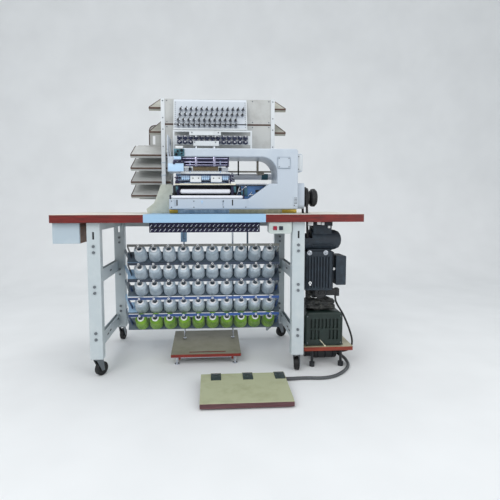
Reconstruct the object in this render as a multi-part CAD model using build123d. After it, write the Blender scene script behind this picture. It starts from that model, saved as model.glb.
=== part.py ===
from build123d import *
import os
from math import atan2, cos, pi, radians, sin, tan

# Fifty-needle smocking machine on its table stand, with its thread racks, motors and foot pedal.
# Millimetres. X runs along the table to the operator's right, Y runs away from the operator, Z is up.
# Z is 0 on the floor and X is 0 at the middle of the table. Depths below are measured back from the
# table's front edge, and place() turns them into Y, so that Y is 0 at the middle of the whole set.

os.makedirs("parts", exist_ok=True)

# Table top
table_width = 1500.0
table_depth = 655.0
table_top_z = 795.0
table_thickness = 39.0
tray_left = -315.0
tray_right = 266.0
tray_sheet = 3.0
wing_corner = 14.0
laminate_edge = 2.0
thread_window_x = (-150.0, 100.0)
thread_window_depth = (180.0, 290.0)
pad_front_xs = ((-200.0, -158.0), (360.0, 436.0))
pad_rear_xs = ((-190.0, -148.0), (330.0, 400.0))
pad_front_setback = 12.0
pad_rear_setback = 30.0
pad_length = 40.0
channel_half = 16.0
channel_wall = 3.0
channel_low_z = 636.0
channel_slot_z = (652.0, 690.0)
channel_slot_half = 4.0
bush_low_z = 730.0
bush_wall = 7.0
belt_slot_margin = 4.0

# Foot pedal, which sets how far the whole set reaches in front of the table
pedal_reach = 330.0
front_y = (pedal_reach - table_depth) / 2
underside_z = table_top_z - table_thickness

# Legs and braces
leg_width = 62.0
leg_depth = 45.0
leg_wall = 3.0
leg_left_inset = 165.0
leg_right_gap = 134.0
leg_front_depth = 26.0
leg_rear_depth = 574.0
leg_bottom_z = 91.0
leg_plate = 6.0
leg_slot_low = 676.0
leg_slot_high = 712.0
leg_slot_width = 9.0
bolt_heights = (643.0, 614.0, 448.0, 418.0, 221.0, 190.0)
bolt_radius = 4.0
bolt_hole_radius = 4.5
bolt_head_radius = 7.5
bolt_head_height = 5.0
bolt_grip = 14.0
top_rail_height = 40.0
brace_height = 66.0
brace_thickness = 22.0
brace_upper_z = 472.0
brace_lower_z = 138.0
stretcher_height = 36.0
stretcher_thickness = 20.0
stretcher_low_z = 125.0
stretcher_high_z = 728.0
stretcher_setback = 6.0
top_rail_half = 15.0
brace_sheet = 3.0
socket_wall = 5.0
strut_x = 351.0
strut_radius = 6.0
strut_low_z = 50.0
strut_high_z = 168.0
strut_brace_run = 44.0
strut_brace_rise = 40.0
strut_tab = 8.0

# Casters
wheel_radius = 34.0
wheel_width = 24.0
hub_radius = 15.0
axle_radius = 4.0
caster_trail = 20.0
fork_wall = 3.0
fork_gap = 1.0
fork_plate = 4.0
fork_length = 44.0
cheek_top_half = 20.0
cheek_low_half = 8.0
wheel_recess = 4.0
tread_edge = 3.0
rim_width = 8.0
stem_radius = 6.0
stem_length = 30.0
bore_clearance = 0.05
turning_gap = 0.3
caster_turns = {"front_left": 35.0, "front_right": 20.0, "rear_left": 8.0, "rear_right": 60.0}

# Drawer and switch box under the table
drawer_inset = 7.0
drawer_width = 125.0
drawer_height = 99.0
drawer_front_depth = 28.0
drawer_length = 260.0
drawer_wall = 10.0
drawer_front_thickness = 14.0
drawer_gap = 0.8
drawer_inner_wall = 6.0
drawer_headroom = 12.0
drawer_end_gap = 2.0
box_inset = 17.0
box_width = 111.0
box_low_z = 700.0
box_high_z = 756.0
box_front = 10.0
box_back = 72.0
box_corner = 12.0
button_size = 18.0
button_proud = 5.0
button_travel = 3.0
button_insets = {"start_button": 29.0, "stop_button": 58.0}
button_z = 727.0
button_gap = 0.4
button_stem = 4.0
button_well = 16.0
bezel_inset = 7.0
bezel_width = 73.0
button_round = 1.5
front_round = 2.0
bezel_half = 14.0
bezel_proud = 2.0

# Creel under the table: five tilted rows of ten thread cones
cones_per_row = 10
cone_first_x = -374.0
cone_pitch = 76.7
row_rail_z = (630.0, 533.0, 445.0, 350.0, 260.0)
rail_depth = 190.0
rail_left = -431.0
rail_right = 364.0
rail_height = 13.0
rail_thickness = 4.0
creel_tilt = 35.0
nose_depth = 225.0
nose_drop = 22.0
cone_length = 88.0
cone_base_radius = 37.0
cone_nose_radius = 25.0
cone_bore_radius = 13.0
spindle_radius = 5.0
board_left = -450.0
board_right = 380.0
board_half_height = 32.0
board_thickness = 10.0
eyelet_radius = 5.0
eyelet_proud = 3.0
arm_height = 20.0
spindle_tip = 4.0
arm_width = 9.0
arm_tab = 38.0
arm_tab_sheet = 3.0
rail_arm_half = 8.0
hanger_x = 206.0
hanger_radius = 5.0

# Looper tension bank under the tray
bank_left = -292.0
bank_right = 241.0
bank_low_z = 707.0
bank_high_z = 753.0
bank_front = 34.0
bank_back = 74.0
bank_columns = 25
bank_peg_radius = 4.0
bank_peg_length = 12.0
bank_row_inset = 12.0
bank_peg_slant = 3.0
bank_hanger_width = 20.0
bank_hanger_sheet = 6.0

# Sewing head casting
head_left = -203.0
head_right = 442.0
head_front = 100.0
head_back = 300.0
head_low_z = 817.0
base_top_z = 869.0
arm_left = -135.0
arm_low_z = 1076.0
arm_top_z = 1118.0
window_right = 336.0
window_corner = 80.0
bed_top_z = 945.0
flare_foot_x = 192.0
flare_top_x = 297.0
bed_block_front = 168.0
bed_block_left = -190.0
head_corner = 16.0
head_edge = 7.0
bed_block_right = 370.0
bed_block_back = 390.0
looper_pit_x = (-155.0, 105.0)
looper_pit_depth = (198.0, 268.0)
shaft_seat = 60.0
shaft_end_gap = 2.0
cloth_plate_thickness = 5.0
cloth_plate_left = -176.0
cloth_plate_right = 296.0
cloth_plate_front = 112.0
cloth_plate_back = 330.0
needle_slot_margin = 5.0
column_notch = 12.0
plate_gap = 0.5
needle_depth = 135.0

# Covers on the head
cover_inset = 6.0
cover_proud = 4.0
cover_rim = 4.0
cover_corner = 5.0
cover_slot_xs = (-172.0, 65.0)
cover_slot_half = 4.0
cover_slot_z = (834.0, 861.0)
column_plate_x = (339.0, 400.0)
column_plate_z = (1022.0, 1076.0)
vent_x = (419.0, 440.0)
vent_z = (832.0, 880.0)
plate_proud = 2.5
plate_corner = 4.0
end_box_width = 30.0
end_box_depth = (145.0, 220.0)
end_box_z = (1007.0, 1097.0)
end_box_corner = 8.0
guard_depth = (130.0, 290.0)
guard_z = (819.0, 950.0)
guard_corner = 22.0
guard_clearance = 2.0
end_cover_left = -204.0
end_cover_gap = 5.0
end_cover_back = 212.0
end_cover_low_z = 1003.0
end_cover_corner = 2.0
end_lip_right = -128.0
end_lip_high_z = 1056.0
end_block_left = -180.0
end_block_depth = (108.0, 170.0)
end_plate_sheet = 4.0
end_plate_depth = (112.0, 270.0)
end_plate_high_z = 1183.0
end_window_depth = (160.0, 230.0)
end_window_z = (1030.0, 1150.0)

# Needle bar: fifty needles on one clamp
needle_count = 50
needle_pitch = 4.8
needle_centre_x = -25.0
needle_radius = 0.9
needle_length = 46.0
clamp_low_z = 1006.0
clamp_high_z = 1026.0
clamp_depth = 16.0
clamp_inset = 3.0
bar_rod_radius = 6.0
bar_rod_xs = (-68.0, 22.0)
bar_rod_rise = 12.0
guide_left = -145.0
guide_right = 95.0
guide_rows = ((1030.0, 1040.0), (1058.0, 1074.0))
guide_out = 22.0
guide_sheet = 14.0
guide_inset = 4.0
guide_cheek = 12.0
collar_half = 14.0
collar_back = 12.0
collar_rows = ((1034.0, 1052.0), (1056.0, 1070.0))
back_plate_sheet = 8.0
presser_rod_xs = (-98.0, 52.0)
presser_rod_radius = 4.0
presser_rod_top = 1067.0
presser_gap = 4.0
presser_right = 100.0
presser_sheet = 6.0
presser_z = (976.0, 1000.0)
presser_rail = 8.0
presser_rail_z = (968.0, 977.0)
presser_toe = 14.0
presser_sole_z = 950.0
presser_sole_height = 6.0
presser_needle_gap = 4.0
presser_foot_xs = ((-96.0, -44.0), (6.0, 58.0))
presser_front = needle_depth - clamp_depth / 2 - presser_gap
presser_depth = presser_front - presser_rod_radius

# Rollers
feed_roller_radius = 11.5
feed_roller_z = 907.0
feed_roller_depth = 132.0
takeup_roller_radius = 8.0
takeup_roller_z = 878.5
takeup_roller_depth = 112.0
puller_radius = 16.0
puller_z = 995.0
puller_depth = 350.0
journal_radius = 5.0
journal_clearance = 0.1
feed_roller_x = (-146.0, 100.0)
takeup_roller_x = (-188.0, 160.0)
puller_x = (106.0, 345.0)
roller_end_gap = 6.0
feed_bracket_width = 12.0
feed_bracket_high_z = 936.0
feed_bracket_lip_z = 892.0
bracket_half = 9.0
bracket_lip = 2.0
takeup_end_gap = 5.0
takeup_bracket_width = 7.0
takeup_bracket_rise = 10.0
upright_half = 12.0
upright_high_z = 1062.0
tie_bar_half = 5.0
tie_bar_z = (1019.0, 1027.0)
looper_cover_left = 178.0
looper_cover_drop = 4.0
looper_cover_sheet = 14.0

# Upper thread rack
post_width = 20.0
post_depth = 20.0
rack_left = -257.0
rack_right = 349.0
rack_front = 280.0
rack_top_z = 1403.0
rear_post_high_z = 1150.0
board_sheet = 8.0
shelf_lip = 8.0
lower_shelf_left = -424.0
lower_shelf_right = -212.0
lower_shelf_front_z = (1109.0, 1040.0, 966.0, 893.0)
lower_shelf_run = 150.0
lower_shelf_rise = 66.0
upper_shelf_left = -322.0
upper_shelf_right = 412.0
upper_shelf_front_z = (1358.0, 1232.0)
upper_shelf_run = 160.0
upper_shelf_rise = 84.0
upper_shelf_taper = 46.0
upper_shelf_pins = (0, 10)
panel_sheet = 5.0
panel_split_z = 1267.0
panel_gap = 9.0
panel_low_z = 1122.0
panel_setback = 4.0
rear_panel_drop = 20.0
rear_panel_inset = 18.0
hood_width = 86.0
hood_low_z = 1178.0
hood_high_z = 1290.0
hood_corner = 30.0
hood_slot_inset = 18.0
hood_slot_width = 15.0
hood_slot_z = (1184.0, 1232.0)
spool_pin_radius = 5.0
spool_pin_length = 90.0
rear_pins_per_row = 3
rear_pin_inset = 10.0
rear_pin_rise = 26.0
pin_seat_radius = 9.0
pin_seat_gap = 3.0
pin_seat_length = 10.0

# Upper tension bank: fifty tension units in four rows
tension_left = -188.0
tension_right = 197.0
tension_low_z = 1230.0
tension_high_z = 1384.0
tension_low_depth = 238.0
tension_high_depth = 272.0
tension_rows = ((1335.0, 13, -150.0), (1306.0, 13, -154.0), (1277.0, 12, -163.0), (1250.0, 12, -163.0))
tension_pitch = 27.2
tension_disc_radii = (9.5, 8.0)
tension_disc_starts = (4.0, 7.5)
tension_disc = 2.5
tension_post_radius = 4.0
tension_post_length = 16.0
tension_sheet = 3.0
tension_lip = 12.0
tension_rim_z = rack_top_z - 6
gusset_notch_z = 1308.0
gusset_notch_half = 20.0

# Thread guide frame over the arm
frame_left = -188.0
frame_right = 219.0
frame_depth = 200.0
frame_top_z = 1222.0
frame_bar = 8.0
guide_rail_low = 1150.0
guide_rail_high = 1194.0
guide_columns = 13
guide_margin = 20.0
guide_peg_radius = 5.0
guide_peg_out = 12.0
guide_peg_rows = ((1184.0, 6.0), (1162.0, 0.0))
frame_section = 12.0
shield_out = 18.0
shield_sheet = 6.0
shield_stay_xs = (-70.0, 30.0)
shield_stay_half = 4.0
guide_shields = (
    ((-103.0, 57.0), (1193.0, 1212.0), (1185.0, 1206.0)),
    ((-83.0, 47.0), (1140.0, 1164.0), (1150.0, 1160.0)),
)

# Drive: handwheel, belt and motors
shaft_z = 876.0
shaft_depth = 200.0
shaft_radius = 10.0
guard_right = 481.0
pulley_left = 484.0
pulley_width = 27.0
pulley_radius = 57.0
belt_seat_radius = 47.0
flange_width = 5.0
groove_start = 8.0
rear_flange_drop = 6.0
handwheel_radius = 45.0
handwheel_right = 559.0
handwheel_neck = 10.0
handwheel_neck_radius = 26.0
handwheel_flare = 8.0
handwheel_round = 8.0
handwheel_dish = 14.0
handwheel_nut_radius = 14.0
belt_width = 10.0
belt_thickness = 9.0
motor_z = 657.0
motor_depth = 160.0
motor_radius = 57.0
motor_left = 519.0
motor_right = 629.0
motor_end_x = 677.0
motor_pulley_radius = 34.0
motor_flange = 9.0
motor_flange_width = 3.0
motor_shaft_radius = 9.0
motor_shaft_seat = 40.0
motor_mount_inset = 8.0
motor_mount_half = 46.0
bell_step = 3.0
guard_end_gap = 12.0
guard_wall = 4.0
guard_mouth = 12.0
housing_left = 484.0
housing_right = 629.0
housing_low_z = 401.0
housing_top_z = 600.0
housing_front = 100.0
housing_back = 225.0
rib_count = 8
rib_depth = 9.0
rib_width = 7.0
rib_margin = 20.0
rib_foot = 12.0
rib_head = 26.0
housing_corner = 14.0
neck_inset = 16.0
neck_half = 45.0
neck_rise = 12.0
control_left = 645.0
control_right = 697.0
control_low_z = 426.0
control_high_z = 577.0
control_inset = 5.0
control_corner = 5.0
control_neck_inset = 30.0
knob_z = 508.0
knob_length = 6.0
knob_radius = 7.0
tension_hub_x = (532.0, 604.0)
tension_hub_z = 382.0
hub_wheel_radius = 31.0
hub_round = 6.0
tension_arm_end_x = 671.0
arm_half = 16.0
arm_front = 24.0
arm_back = 4.0
blower_left = 482.0
blower_right = 680.0
blower_low_z = 117.0
blower_high_z = 290.0
blower_front = 85.0
blower_back = 290.0
blower_shoulder = 26.0
blower_corner = 10.0
blower_foot_inset = 12.0
louvre_count = 8
louvre_margin = 22.0
louvre_rows = ((148.0, 196.0), (206.0, 254.0))
louvres_left_out = (3, 4)
louvre_half = 5.0
louvre_depth = 9.0
duct_x = (496.0, 642.0)
duct_depth = (104.0, 206.0)
duct_high_z = 349.0
duct_corner = 18.0
duct_hub_gap = 4.0
duct_riser_x = (500.0, 527.0)
duct_riser_depth = (118.0, 196.0)
platform_left = 473.0
platform_right = 730.0
platform_front = 70.0
platform_back = 330.0
platform_top_z = 112.0
platform_thickness = 20.0
platform_corner = 6.0
platform_foot_xs = (525.0, 676.0)
platform_foot_inset = 34.0
platform_foot_height = 22.0
platform_foot_radius = 14.0
platform_stem_radius = 7.0
tank_left = 542.0
tank_right = 672.0
tank_radius = 30.0
tank_z = 48.0
tank_depth = 178.0
tank_round = 12.0
tank_strap_inset = 25.0
tank_strap_half = 6.0
pump_length = 44.0
pump_radius = 22.0
port_wall = 2.0
hose_port_length = 44.0
cable_port_length = 34.0

# Treadle and its rods
treadle_left = -210.0
treadle_right = 157.0
treadle_front = 150.0
treadle_run = 300.0
treadle_front_z = 60.0
treadle_tilt = 6.7
treadle_thickness = 16.0
pivot_depth = 178.0
pivot_z = 34.0
pivot_radius = 4.0
rod_depth = 336.0
rod_radius = 5.0
rod_top_z = 770.0
rod_xs = (-147.0, 124.0)
rod_lift_gap = 0.5
rod_bush_gap = 0.4
rod_foot = 4.0
rod_foot_height = 8.0
treadle_slot_setback = 22.0
treadle_slot_width = 8.0
treadle_slot_left = 95.0
treadle_slot_right = 80.0
lug_inset = 44.0
lug_half = 5.0
lug_reach = 9.0
lug_top_z = 52.0
stand_inset = 26.0
stand_cheek = 8.0
stand_foot_radius = 13.0
stand_foot = 4.0

# Foot pedal
pedal_left = -48.0
pedal_right = 345.0
pedal_rear = 60.0
pedal_front_height = 28.0
pedal_rear_height = 45.0
pedal_board = 14.0
pedal_base_sheet = 3.0
pedal_play = 3.5
pedal_hinge_xs = (22.0, 170.0, 319.0)
hinge_width = 48.0
hinge_leaf = 1.6
hinge_pin_radius = 2.5
hinge_knuckle_radius = 4.5
hinge_leaf_run = 36.0
hinge_sink = 0.5
hinge_drop = 8.0
riser_depth = 12.0
base_side_gap = 8.0
base_front_gap = 22.0
lid_skirt = 16.0
lid_round = 3.0
hose_seat = 12.0
hose_seat_wall = 1.5

# Cords
cable_radius = 5.0
hose_radius = 8.0
cable_route = [
    (656.0, 150.0, 366.0),
    (656.0, 150.0, 338.0),
    (671.0, 146.0, 306.0),
    (696.0, 140.0, 266.0),
    (713.0, 134.0, 226.0),
    (727.0, 128.0, 188.0),
    (739.0, 124.0, 150.0),
    (745.0, 124.0, 112.0),
    (737.0, 130.0, 82.0),
    (716.0, 141.0, 64.0),
    (690.0, 152.0, 58.0),
]
hose_route = [
    (357.0, -66.0, 10.0),
    (392.0, -66.0, 10.0),
    (430.0, -59.0, 8.3),
    (474.0, -60.0, 8.3),
    (522.0, -67.0, 8.3),
    (572.0, -60.0, 8.3),
    (618.0, -36.0, 8.3),
    (658.0, 2.0, 8.3),
    (692.0, 44.0, 8.3),
    (712.0, 84.0, 9.0),
    (717.0, 120.0, 14.0),
    (710.0, 150.0, 25.0),
    (694.0, 172.0, 34.0),
]


def place(x, depth, z):
    return Vector(x, front_y + depth, z)


def block(x, depth, z):
    """Box between the limits given as pairs."""
    low = place(x[0], depth[0], z[0])
    high = place(x[1], depth[1], z[1])
    return Pos((low + high) * 0.5) * Box(*(high - low))


def rod(start, end, radius):
    low = place(*start)
    run = place(*end) - low
    return extrude(Plane(origin=low, z_dir=run) * Circle(radius), run.length)


def peg(start, end, radius, sides=6):
    low = place(*start)
    run = place(*end) - low
    return extrude(Plane(origin=low, z_dir=run) * RegularPolygon(radius, sides), run.length)


def along_x(points, x):
    """Profile of (depth, z) points, run from x[0] to x[1]."""
    outline = Polyline(*[place(x[0], depth, z) for depth, z in points], close=True)
    return extrude(make_face(outline), x[1] - x[0], dir=(1, 0, 0))


def along_y(points, depth):
    """Profile of (x, z) points, run from depth[0] to depth[1]."""
    outline = Polyline(*[place(x, depth[0], z) for x, z in points], close=True)
    return extrude(make_face(outline), depth[1] - depth[0], dir=(0, 1, 0))


def along_z(points, z):
    """Profile of (x, depth) points, run from z[0] to z[1]."""
    outline = Polyline(*[place(x, depth, z[0]) for x, depth in points], close=True)
    return extrude(make_face(outline), z[1] - z[0], dir=(0, 0, 1))


def turned(profile, start, direction):
    """Profile of (radius, height) points, turned about the line from start."""
    face = make_face(Polyline(*[(radius, 0, height) for radius, height in profile], close=True))
    return Plane(origin=place(*start), z_dir=direction) * revolve(face, Axis.Z)


def save(name, *pieces):
    solids = [solid for piece in pieces for solid in piece.solids()]
    whole = solids[0] if len(solids) == 1 else Compound(solids)
    export_step(whole, f"parts/{name}.step")


# Table top: two wooden wings and a folded steel tray between them
half_width = table_width / 2
table_z = (underside_z, table_top_z)


def wing(x, corner_side):
    board = block(x, (0, table_depth), table_z)
    edges = board.edges().filter_by(Axis.Z).sort_by(Axis.X)
    outer = edges[:2] if corner_side < 0 else edges[-2:]
    board = fillet(outer, wing_corner)
    rim = board.faces().sort_by(Axis.Z)[-1].edges()
    return chamfer(rim, laminate_edge)


belt_reach = pulley_radius + belt_thickness + belt_slot_margin
belt_slot = block(
    (pulley_left - belt_slot_margin, pulley_left + pulley_width + belt_slot_margin),
    (motor_depth - pulley_radius + belt_slot_margin, shaft_depth + belt_reach),
    (underside_z - 1, table_top_z + 1),
)
save("table_left_wing", wing((-half_width, tray_left), -1))
save("table_right_wing", wing((tray_right, half_width), 1) - belt_slot)

tray = block((tray_left, tray_right), (0, table_depth), table_z)
tray -= block(
    (tray_left + tray_sheet, tray_right - tray_sheet),
    (tray_sheet, table_depth - tray_sheet),
    (underside_z - 1, table_top_z - tray_sheet),
)
thread_window = block(thread_window_x, thread_window_depth, (underside_z, table_top_z + 1))
tray -= thread_window
tray_under_z = table_top_z - tray_sheet
guide_left_x, guide_right_x = rod_xs
channel_front = rod_depth - channel_half
channel_back = rod_depth + channel_half
channel_inner = channel_half - channel_wall
channel = block(
    (guide_left_x - channel_half, guide_left_x + channel_half),
    (channel_front, channel_back),
    (channel_low_z, tray_under_z),
)
channel -= block(
    (guide_left_x - channel_inner, guide_left_x + channel_inner),
    (channel_front + channel_wall, channel_back + 1),
    (channel_low_z - 1, tray_under_z - channel_wall),
)
channel -= block(
    (guide_left_x - channel_slot_half, guide_left_x + channel_slot_half),
    (channel_front - 1, rod_depth),
    channel_slot_z,
)
bush_top = (guide_right_x, rod_depth, tray_under_z)
bush = rod((guide_right_x, rod_depth, bush_low_z), bush_top, rod_radius + bush_wall)
bush -= rod(
    (guide_right_x, rod_depth, bush_low_z - 1),
    (guide_right_x, rod_depth, tray_under_z - tray_sheet),
    rod_radius + rod_bush_gap,
)
pad_rows = ((pad_front_xs, head_front + pad_front_setback), (pad_rear_xs, head_back + pad_rear_setback))
pad_z = (table_top_z, head_low_z)
pads = [block(x, (start, start + pad_length), pad_z) for xs, start in pad_rows for x in xs]
save("centre_tray", tray, channel, bush, *pads)


# Legs: folded channels, web to the front, with a foot plate and a caster socket
leg_left_x = -half_width + leg_left_inset + leg_width / 2
leg_right_x = tray_right + leg_right_gap + leg_width / 2
leg_centres = {
    "front_left": (leg_left_x, leg_front_depth),
    "front_right": (leg_right_x, leg_front_depth),
    "rear_left": (leg_left_x, leg_rear_depth),
    "rear_right": (leg_right_x, leg_rear_depth),
}


def leg(x, front):
    back = front + leg_depth
    half = leg_width / 2
    section = [
        (x - half, front),
        (x + half, front),
        (x + half, back),
        (x + half - leg_wall, back),
        (x + half - leg_wall, front + leg_wall),
        (x - half + leg_wall, front + leg_wall),
        (x - half + leg_wall, back),
        (x - half, back),
    ]
    post = along_z(section, (leg_bottom_z, underside_z))
    corners = post.edges().filter_by(Axis.Z).sort_by(Axis.Y)[:2]
    post = fillet(corners, leg_wall)
    inner_x = (x - half + 1, x + half - 1)
    inner_depth = (front + 1, back)
    for z in (leg_bottom_z, underside_z - leg_plate):
        post += block(inner_x, inner_depth, (z, z + leg_plate))
    middle = front + leg_depth / 2
    socket_top = leg_bottom_z + stem_length + 2
    post += rod((x, middle, leg_bottom_z), (x, middle, socket_top), stem_radius + socket_wall)
    post -= rod((x, middle, leg_bottom_z - 1), (x, middle, socket_top + 1), stem_radius + bore_clearance)
    half_slot = leg_slot_width / 2
    through = (front - 1, front + leg_wall + 1)
    post -= block((x - half_slot, x + half_slot), through, (leg_slot_low, leg_slot_high))
    for z in bolt_heights:
        post -= rod((x, through[0], z), (x, through[1], z), bolt_hole_radius)
    return post


def leg_bolt(x, front, z):
    shank = rod((x, front - bolt_head_height, z), (x, front + bolt_grip, z), bolt_radius)
    return shank + peg((x, front - bolt_head_height, z), (x, front, z), bolt_head_radius)


for corner, (x, front) in leg_centres.items():
    save("leg_" + corner, leg(x, front))
save("leg_bolts", *[leg_bolt(x, front, z) for x, front in leg_centres.values() for z in bolt_heights])

leg_back = leg_front_depth + leg_depth
run = (leg_back, leg_rear_depth)
braces = []
for x, side in ((leg_left_x, -1), (leg_right_x, 1)):
    outer = x + side * leg_width / 2
    inner = outer - side * brace_thickness
    span = (min(outer, inner), max(outer, inner))
    rail_z = (underside_z - top_rail_height, underside_z)
    braces.append(block((x - top_rail_half, x + top_rail_half), run, rail_z))
    for z in (brace_upper_z, brace_lower_z):
        low_z = z - brace_height / 2
        bar = block(span, run, (low_z, low_z + brace_height))
        bar -= block(
            (span[0] + brace_sheet, span[1] - brace_sheet),
            (run[0] - 1, run[1] + 1),
            (low_z + brace_sheet, low_z + brace_height + 1),
        )
        braces.append(bar)
leg_gap = (leg_left_x + leg_width / 2, leg_right_x - leg_width / 2)
stretcher_front = leg_rear_depth + stretcher_setback
stretcher_run = (stretcher_front, stretcher_front + stretcher_thickness)
for z in (stretcher_low_z, stretcher_high_z):
    braces.append(block(leg_gap, stretcher_run, (z - stretcher_height / 2, z + stretcher_height / 2)))
strut_depth = stretcher_front - strut_radius - 4
strut = rod((strut_x, strut_depth, strut_low_z), (strut_x, strut_depth, strut_high_z), strut_radius)
strut += block(
    (strut_x - strut_tab, strut_x + strut_tab),
    (strut_depth, stretcher_front),
    (stretcher_low_z - strut_tab, stretcher_low_z + strut_tab),
)
strut_foot = (strut_x, strut_depth, strut_low_z + 2)
strut_end = (strut_x + strut_brace_run, strut_depth, strut_low_z + strut_brace_rise)
strut += rod(strut_foot, strut_end, strut_radius)
braces.append(strut)
save("leg_braces", *braces)


# Casters: a fork that turns in the leg's socket, and a wheel on its axle
def caster(x, front, turn):
    middle = front + leg_depth / 2
    heading = radians(turn)
    back = Vector(sin(heading), cos(heading), 0) * caster_trail
    axle_x, axle_depth = x + back.X, middle + back.Y
    across = Vector(cos(heading), -sin(heading), 0)
    inner = wheel_width / 2 + fork_gap
    outer = inner + fork_wall
    plate_z = leg_bottom_z - turning_gap
    fork = Pos(0, 0, plate_z - fork_plate / 2) * Box(2 * outer, fork_length, fork_plate)
    cheek_low_z = wheel_radius - cheek_low_half
    cheek_points = [
        (0, cheek_top_half, plate_z),
        (0, -cheek_top_half, plate_z),
        (0, caster_trail - cheek_low_half, cheek_low_z),
        (0, caster_trail + cheek_low_half, cheek_low_z),
    ]
    cheek = extrude(make_face(Polyline(*cheek_points, close=True)), fork_wall, dir=(1, 0, 0))
    fork += Pos(inner, 0, 0) * cheek
    fork += Pos(-outer, 0, 0) * cheek
    fork += Pos(0, 0, plate_z) * extrude(Circle(stem_radius), stem_length)
    fork = Pos(place(x, middle, 0)) * Rot(0, 0, -turn) * fork
    axle_start = (axle_x - across.X * outer, axle_depth - across.Y * outer, wheel_radius)
    axle_end = (axle_x + across.X * outer, axle_depth + across.Y * outer, wheel_radius)
    fork += rod(axle_start, axle_end, axle_radius)
    half = wheel_width / 2
    bore = axle_radius + bore_clearance
    profile = [
        (bore, -half),
        (hub_radius, -half),
        (hub_radius, -half + wheel_recess),
        (wheel_radius - rim_width, -half + wheel_recess),
        (wheel_radius - rim_width + tread_edge, -half),
        (wheel_radius - tread_edge, -half),
        (wheel_radius, -half + tread_edge),
        (wheel_radius, half - tread_edge),
        (wheel_radius - tread_edge, half),
        (wheel_radius - rim_width + tread_edge, half),
        (wheel_radius - rim_width, half - wheel_recess),
        (hub_radius, half - wheel_recess),
        (hub_radius, half),
        (bore, half),
    ]
    wheel = turned(profile, (axle_x, axle_depth, wheel_radius), across)
    return fork, wheel


for corner, (x, front) in leg_centres.items():
    fork, wheel = caster(x, front, caster_turns[corner])
    save("caster_fork_" + corner, fork)
    save("caster_wheel_" + corner, wheel)


# Drawer in its case, under the left wing
drawer_left = drawer_inset - half_width
drawer_right = drawer_left + drawer_width
drawer_low_z = underside_z - drawer_height
case_front = drawer_front_depth + drawer_front_thickness
case_back = case_front + drawer_length
case = block((drawer_left, drawer_right), (case_front, case_back), (drawer_low_z, underside_z))
cavity_x = (drawer_left + drawer_wall, drawer_right - drawer_wall)
cavity_z = (drawer_low_z + drawer_wall, underside_z - drawer_wall)
case -= block(cavity_x, (case_front - 1, case_back - drawer_wall), cavity_z)
save("drawer_case", case)
body_x = (cavity_x[0] + drawer_gap, cavity_x[1] - drawer_gap)
body_z = (cavity_z[0] + turning_gap, cavity_z[1] - drawer_headroom)
body_depth = (case_front - turning_gap, case_back - drawer_wall - drawer_end_gap)
drawer = block(body_x, body_depth, body_z)
drawer -= block(
    (body_x[0] + drawer_inner_wall, body_x[1] - drawer_inner_wall),
    (body_depth[0] + drawer_inner_wall, body_depth[1] - drawer_inner_wall),
    (body_z[0] + drawer_inner_wall, body_z[1] + 1),
)
front_board = block(
    (drawer_left, drawer_right),
    (drawer_front_depth, case_front - turning_gap),
    (drawer_low_z, underside_z - 1),
)
front_board = fillet(front_board.faces().sort_by(Axis.Y)[0].edges(), front_round)
save("drawer", drawer + front_board)

# Switch box with its two square buttons
box_left = tray_right + box_inset
switch_box = block((box_left, box_left + box_width), (box_front, box_back), (box_low_z, box_high_z))
switch_box = fillet(switch_box.edges().filter_by(Axis.Y).sort_by(Axis.Z)[:2], box_corner)
switch_box = fillet(switch_box.faces().sort_by(Axis.Y)[0].edges(), front_round)
bezel_front = box_front - bezel_proud
bezel_x = (box_left + bezel_inset, box_left + bezel_inset + bezel_width)
switch_box += block(bezel_x, (bezel_front, box_front), (button_z - bezel_half, button_z + bezel_half))
well_back = box_front + button_well
for name, inset in button_insets.items():
    x = box_left + inset
    half = button_size / 2
    well = half + button_gap
    well_z = (button_z - well, button_z + well)
    switch_box -= block((x - well, x + well), (bezel_front - 1, well_back), well_z)
    cap_back = box_front + button_stem
    cap_z = (button_z - half, button_z + half)
    cap = block((x - half, x + half), (bezel_front - button_proud, cap_back), cap_z)
    cap = fillet(cap.faces().sort_by(Axis.Y)[0].edges(), button_round)
    stem_end = well_back - button_travel - turning_gap
    stem = rod((x, cap_back, button_z), (x, stem_end, button_z), button_stem)
    save(name, cap + stem)
save("switch_box", switch_box)


# Creel: each row is a tilted board with spindles and two arms back to the rear legs
tilt = radians(creel_tilt)
toward = Vector(0, -cos(tilt), sin(tilt))
upward = Vector(0, sin(tilt), cos(tilt))
cone_xs = [cone_first_x + cone_pitch * number for number in range(cones_per_row)]


def row_base(rail_z):
    """Depth and height of the middle of a row's cone bases."""
    return nose_depth + cone_length * cos(tilt), rail_z - nose_drop - cone_length * sin(tilt)


def tilted(depth, z, out, up):
    """Point on the row's tilted plane, out along the cones and up along the board."""
    return depth + out * toward.Y + up * upward.Y, z + out * toward.Z + up * upward.Z


def row_frame(rail_z):
    depth, z = row_base(rail_z)
    corners = [
        tilted(depth, z, out, up)
        for out, up in (
            (0, -board_half_height),
            (0, board_half_height),
            (-board_thickness, board_half_height),
            (-board_thickness, -board_half_height),
        )
    ]
    frame = along_x(corners, (board_left, board_right))
    pieces = []
    for x in cone_xs:
        start = (x, *tilted(depth, z, -1, 0))
        end = (x, *tilted(depth, z, cone_length + spindle_tip, 0))
        pieces.append(peg(start, end, spindle_radius))
    arm_front = tilted(depth, z, -board_thickness / 2, 0)[0]
    left_face = leg_left_x + leg_width / 2
    right_face = leg_right_x - leg_width / 2
    tab_back = leg_rear_depth + arm_tab
    for end_x, face, side in ((board_left, left_face, 1), (board_right, right_face, -1)):
        plan = [
            (end_x, arm_front),
            (end_x + side * arm_width, arm_front),
            (face + side * arm_width, leg_rear_depth),
            (face + side * arm_tab_sheet, tab_back),
            (face, tab_back),
            (face, leg_rear_depth),
        ]
        pieces.append(along_z(plan, (z - arm_height / 2, z + arm_height / 2)))
    return frame + pieces


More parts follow.
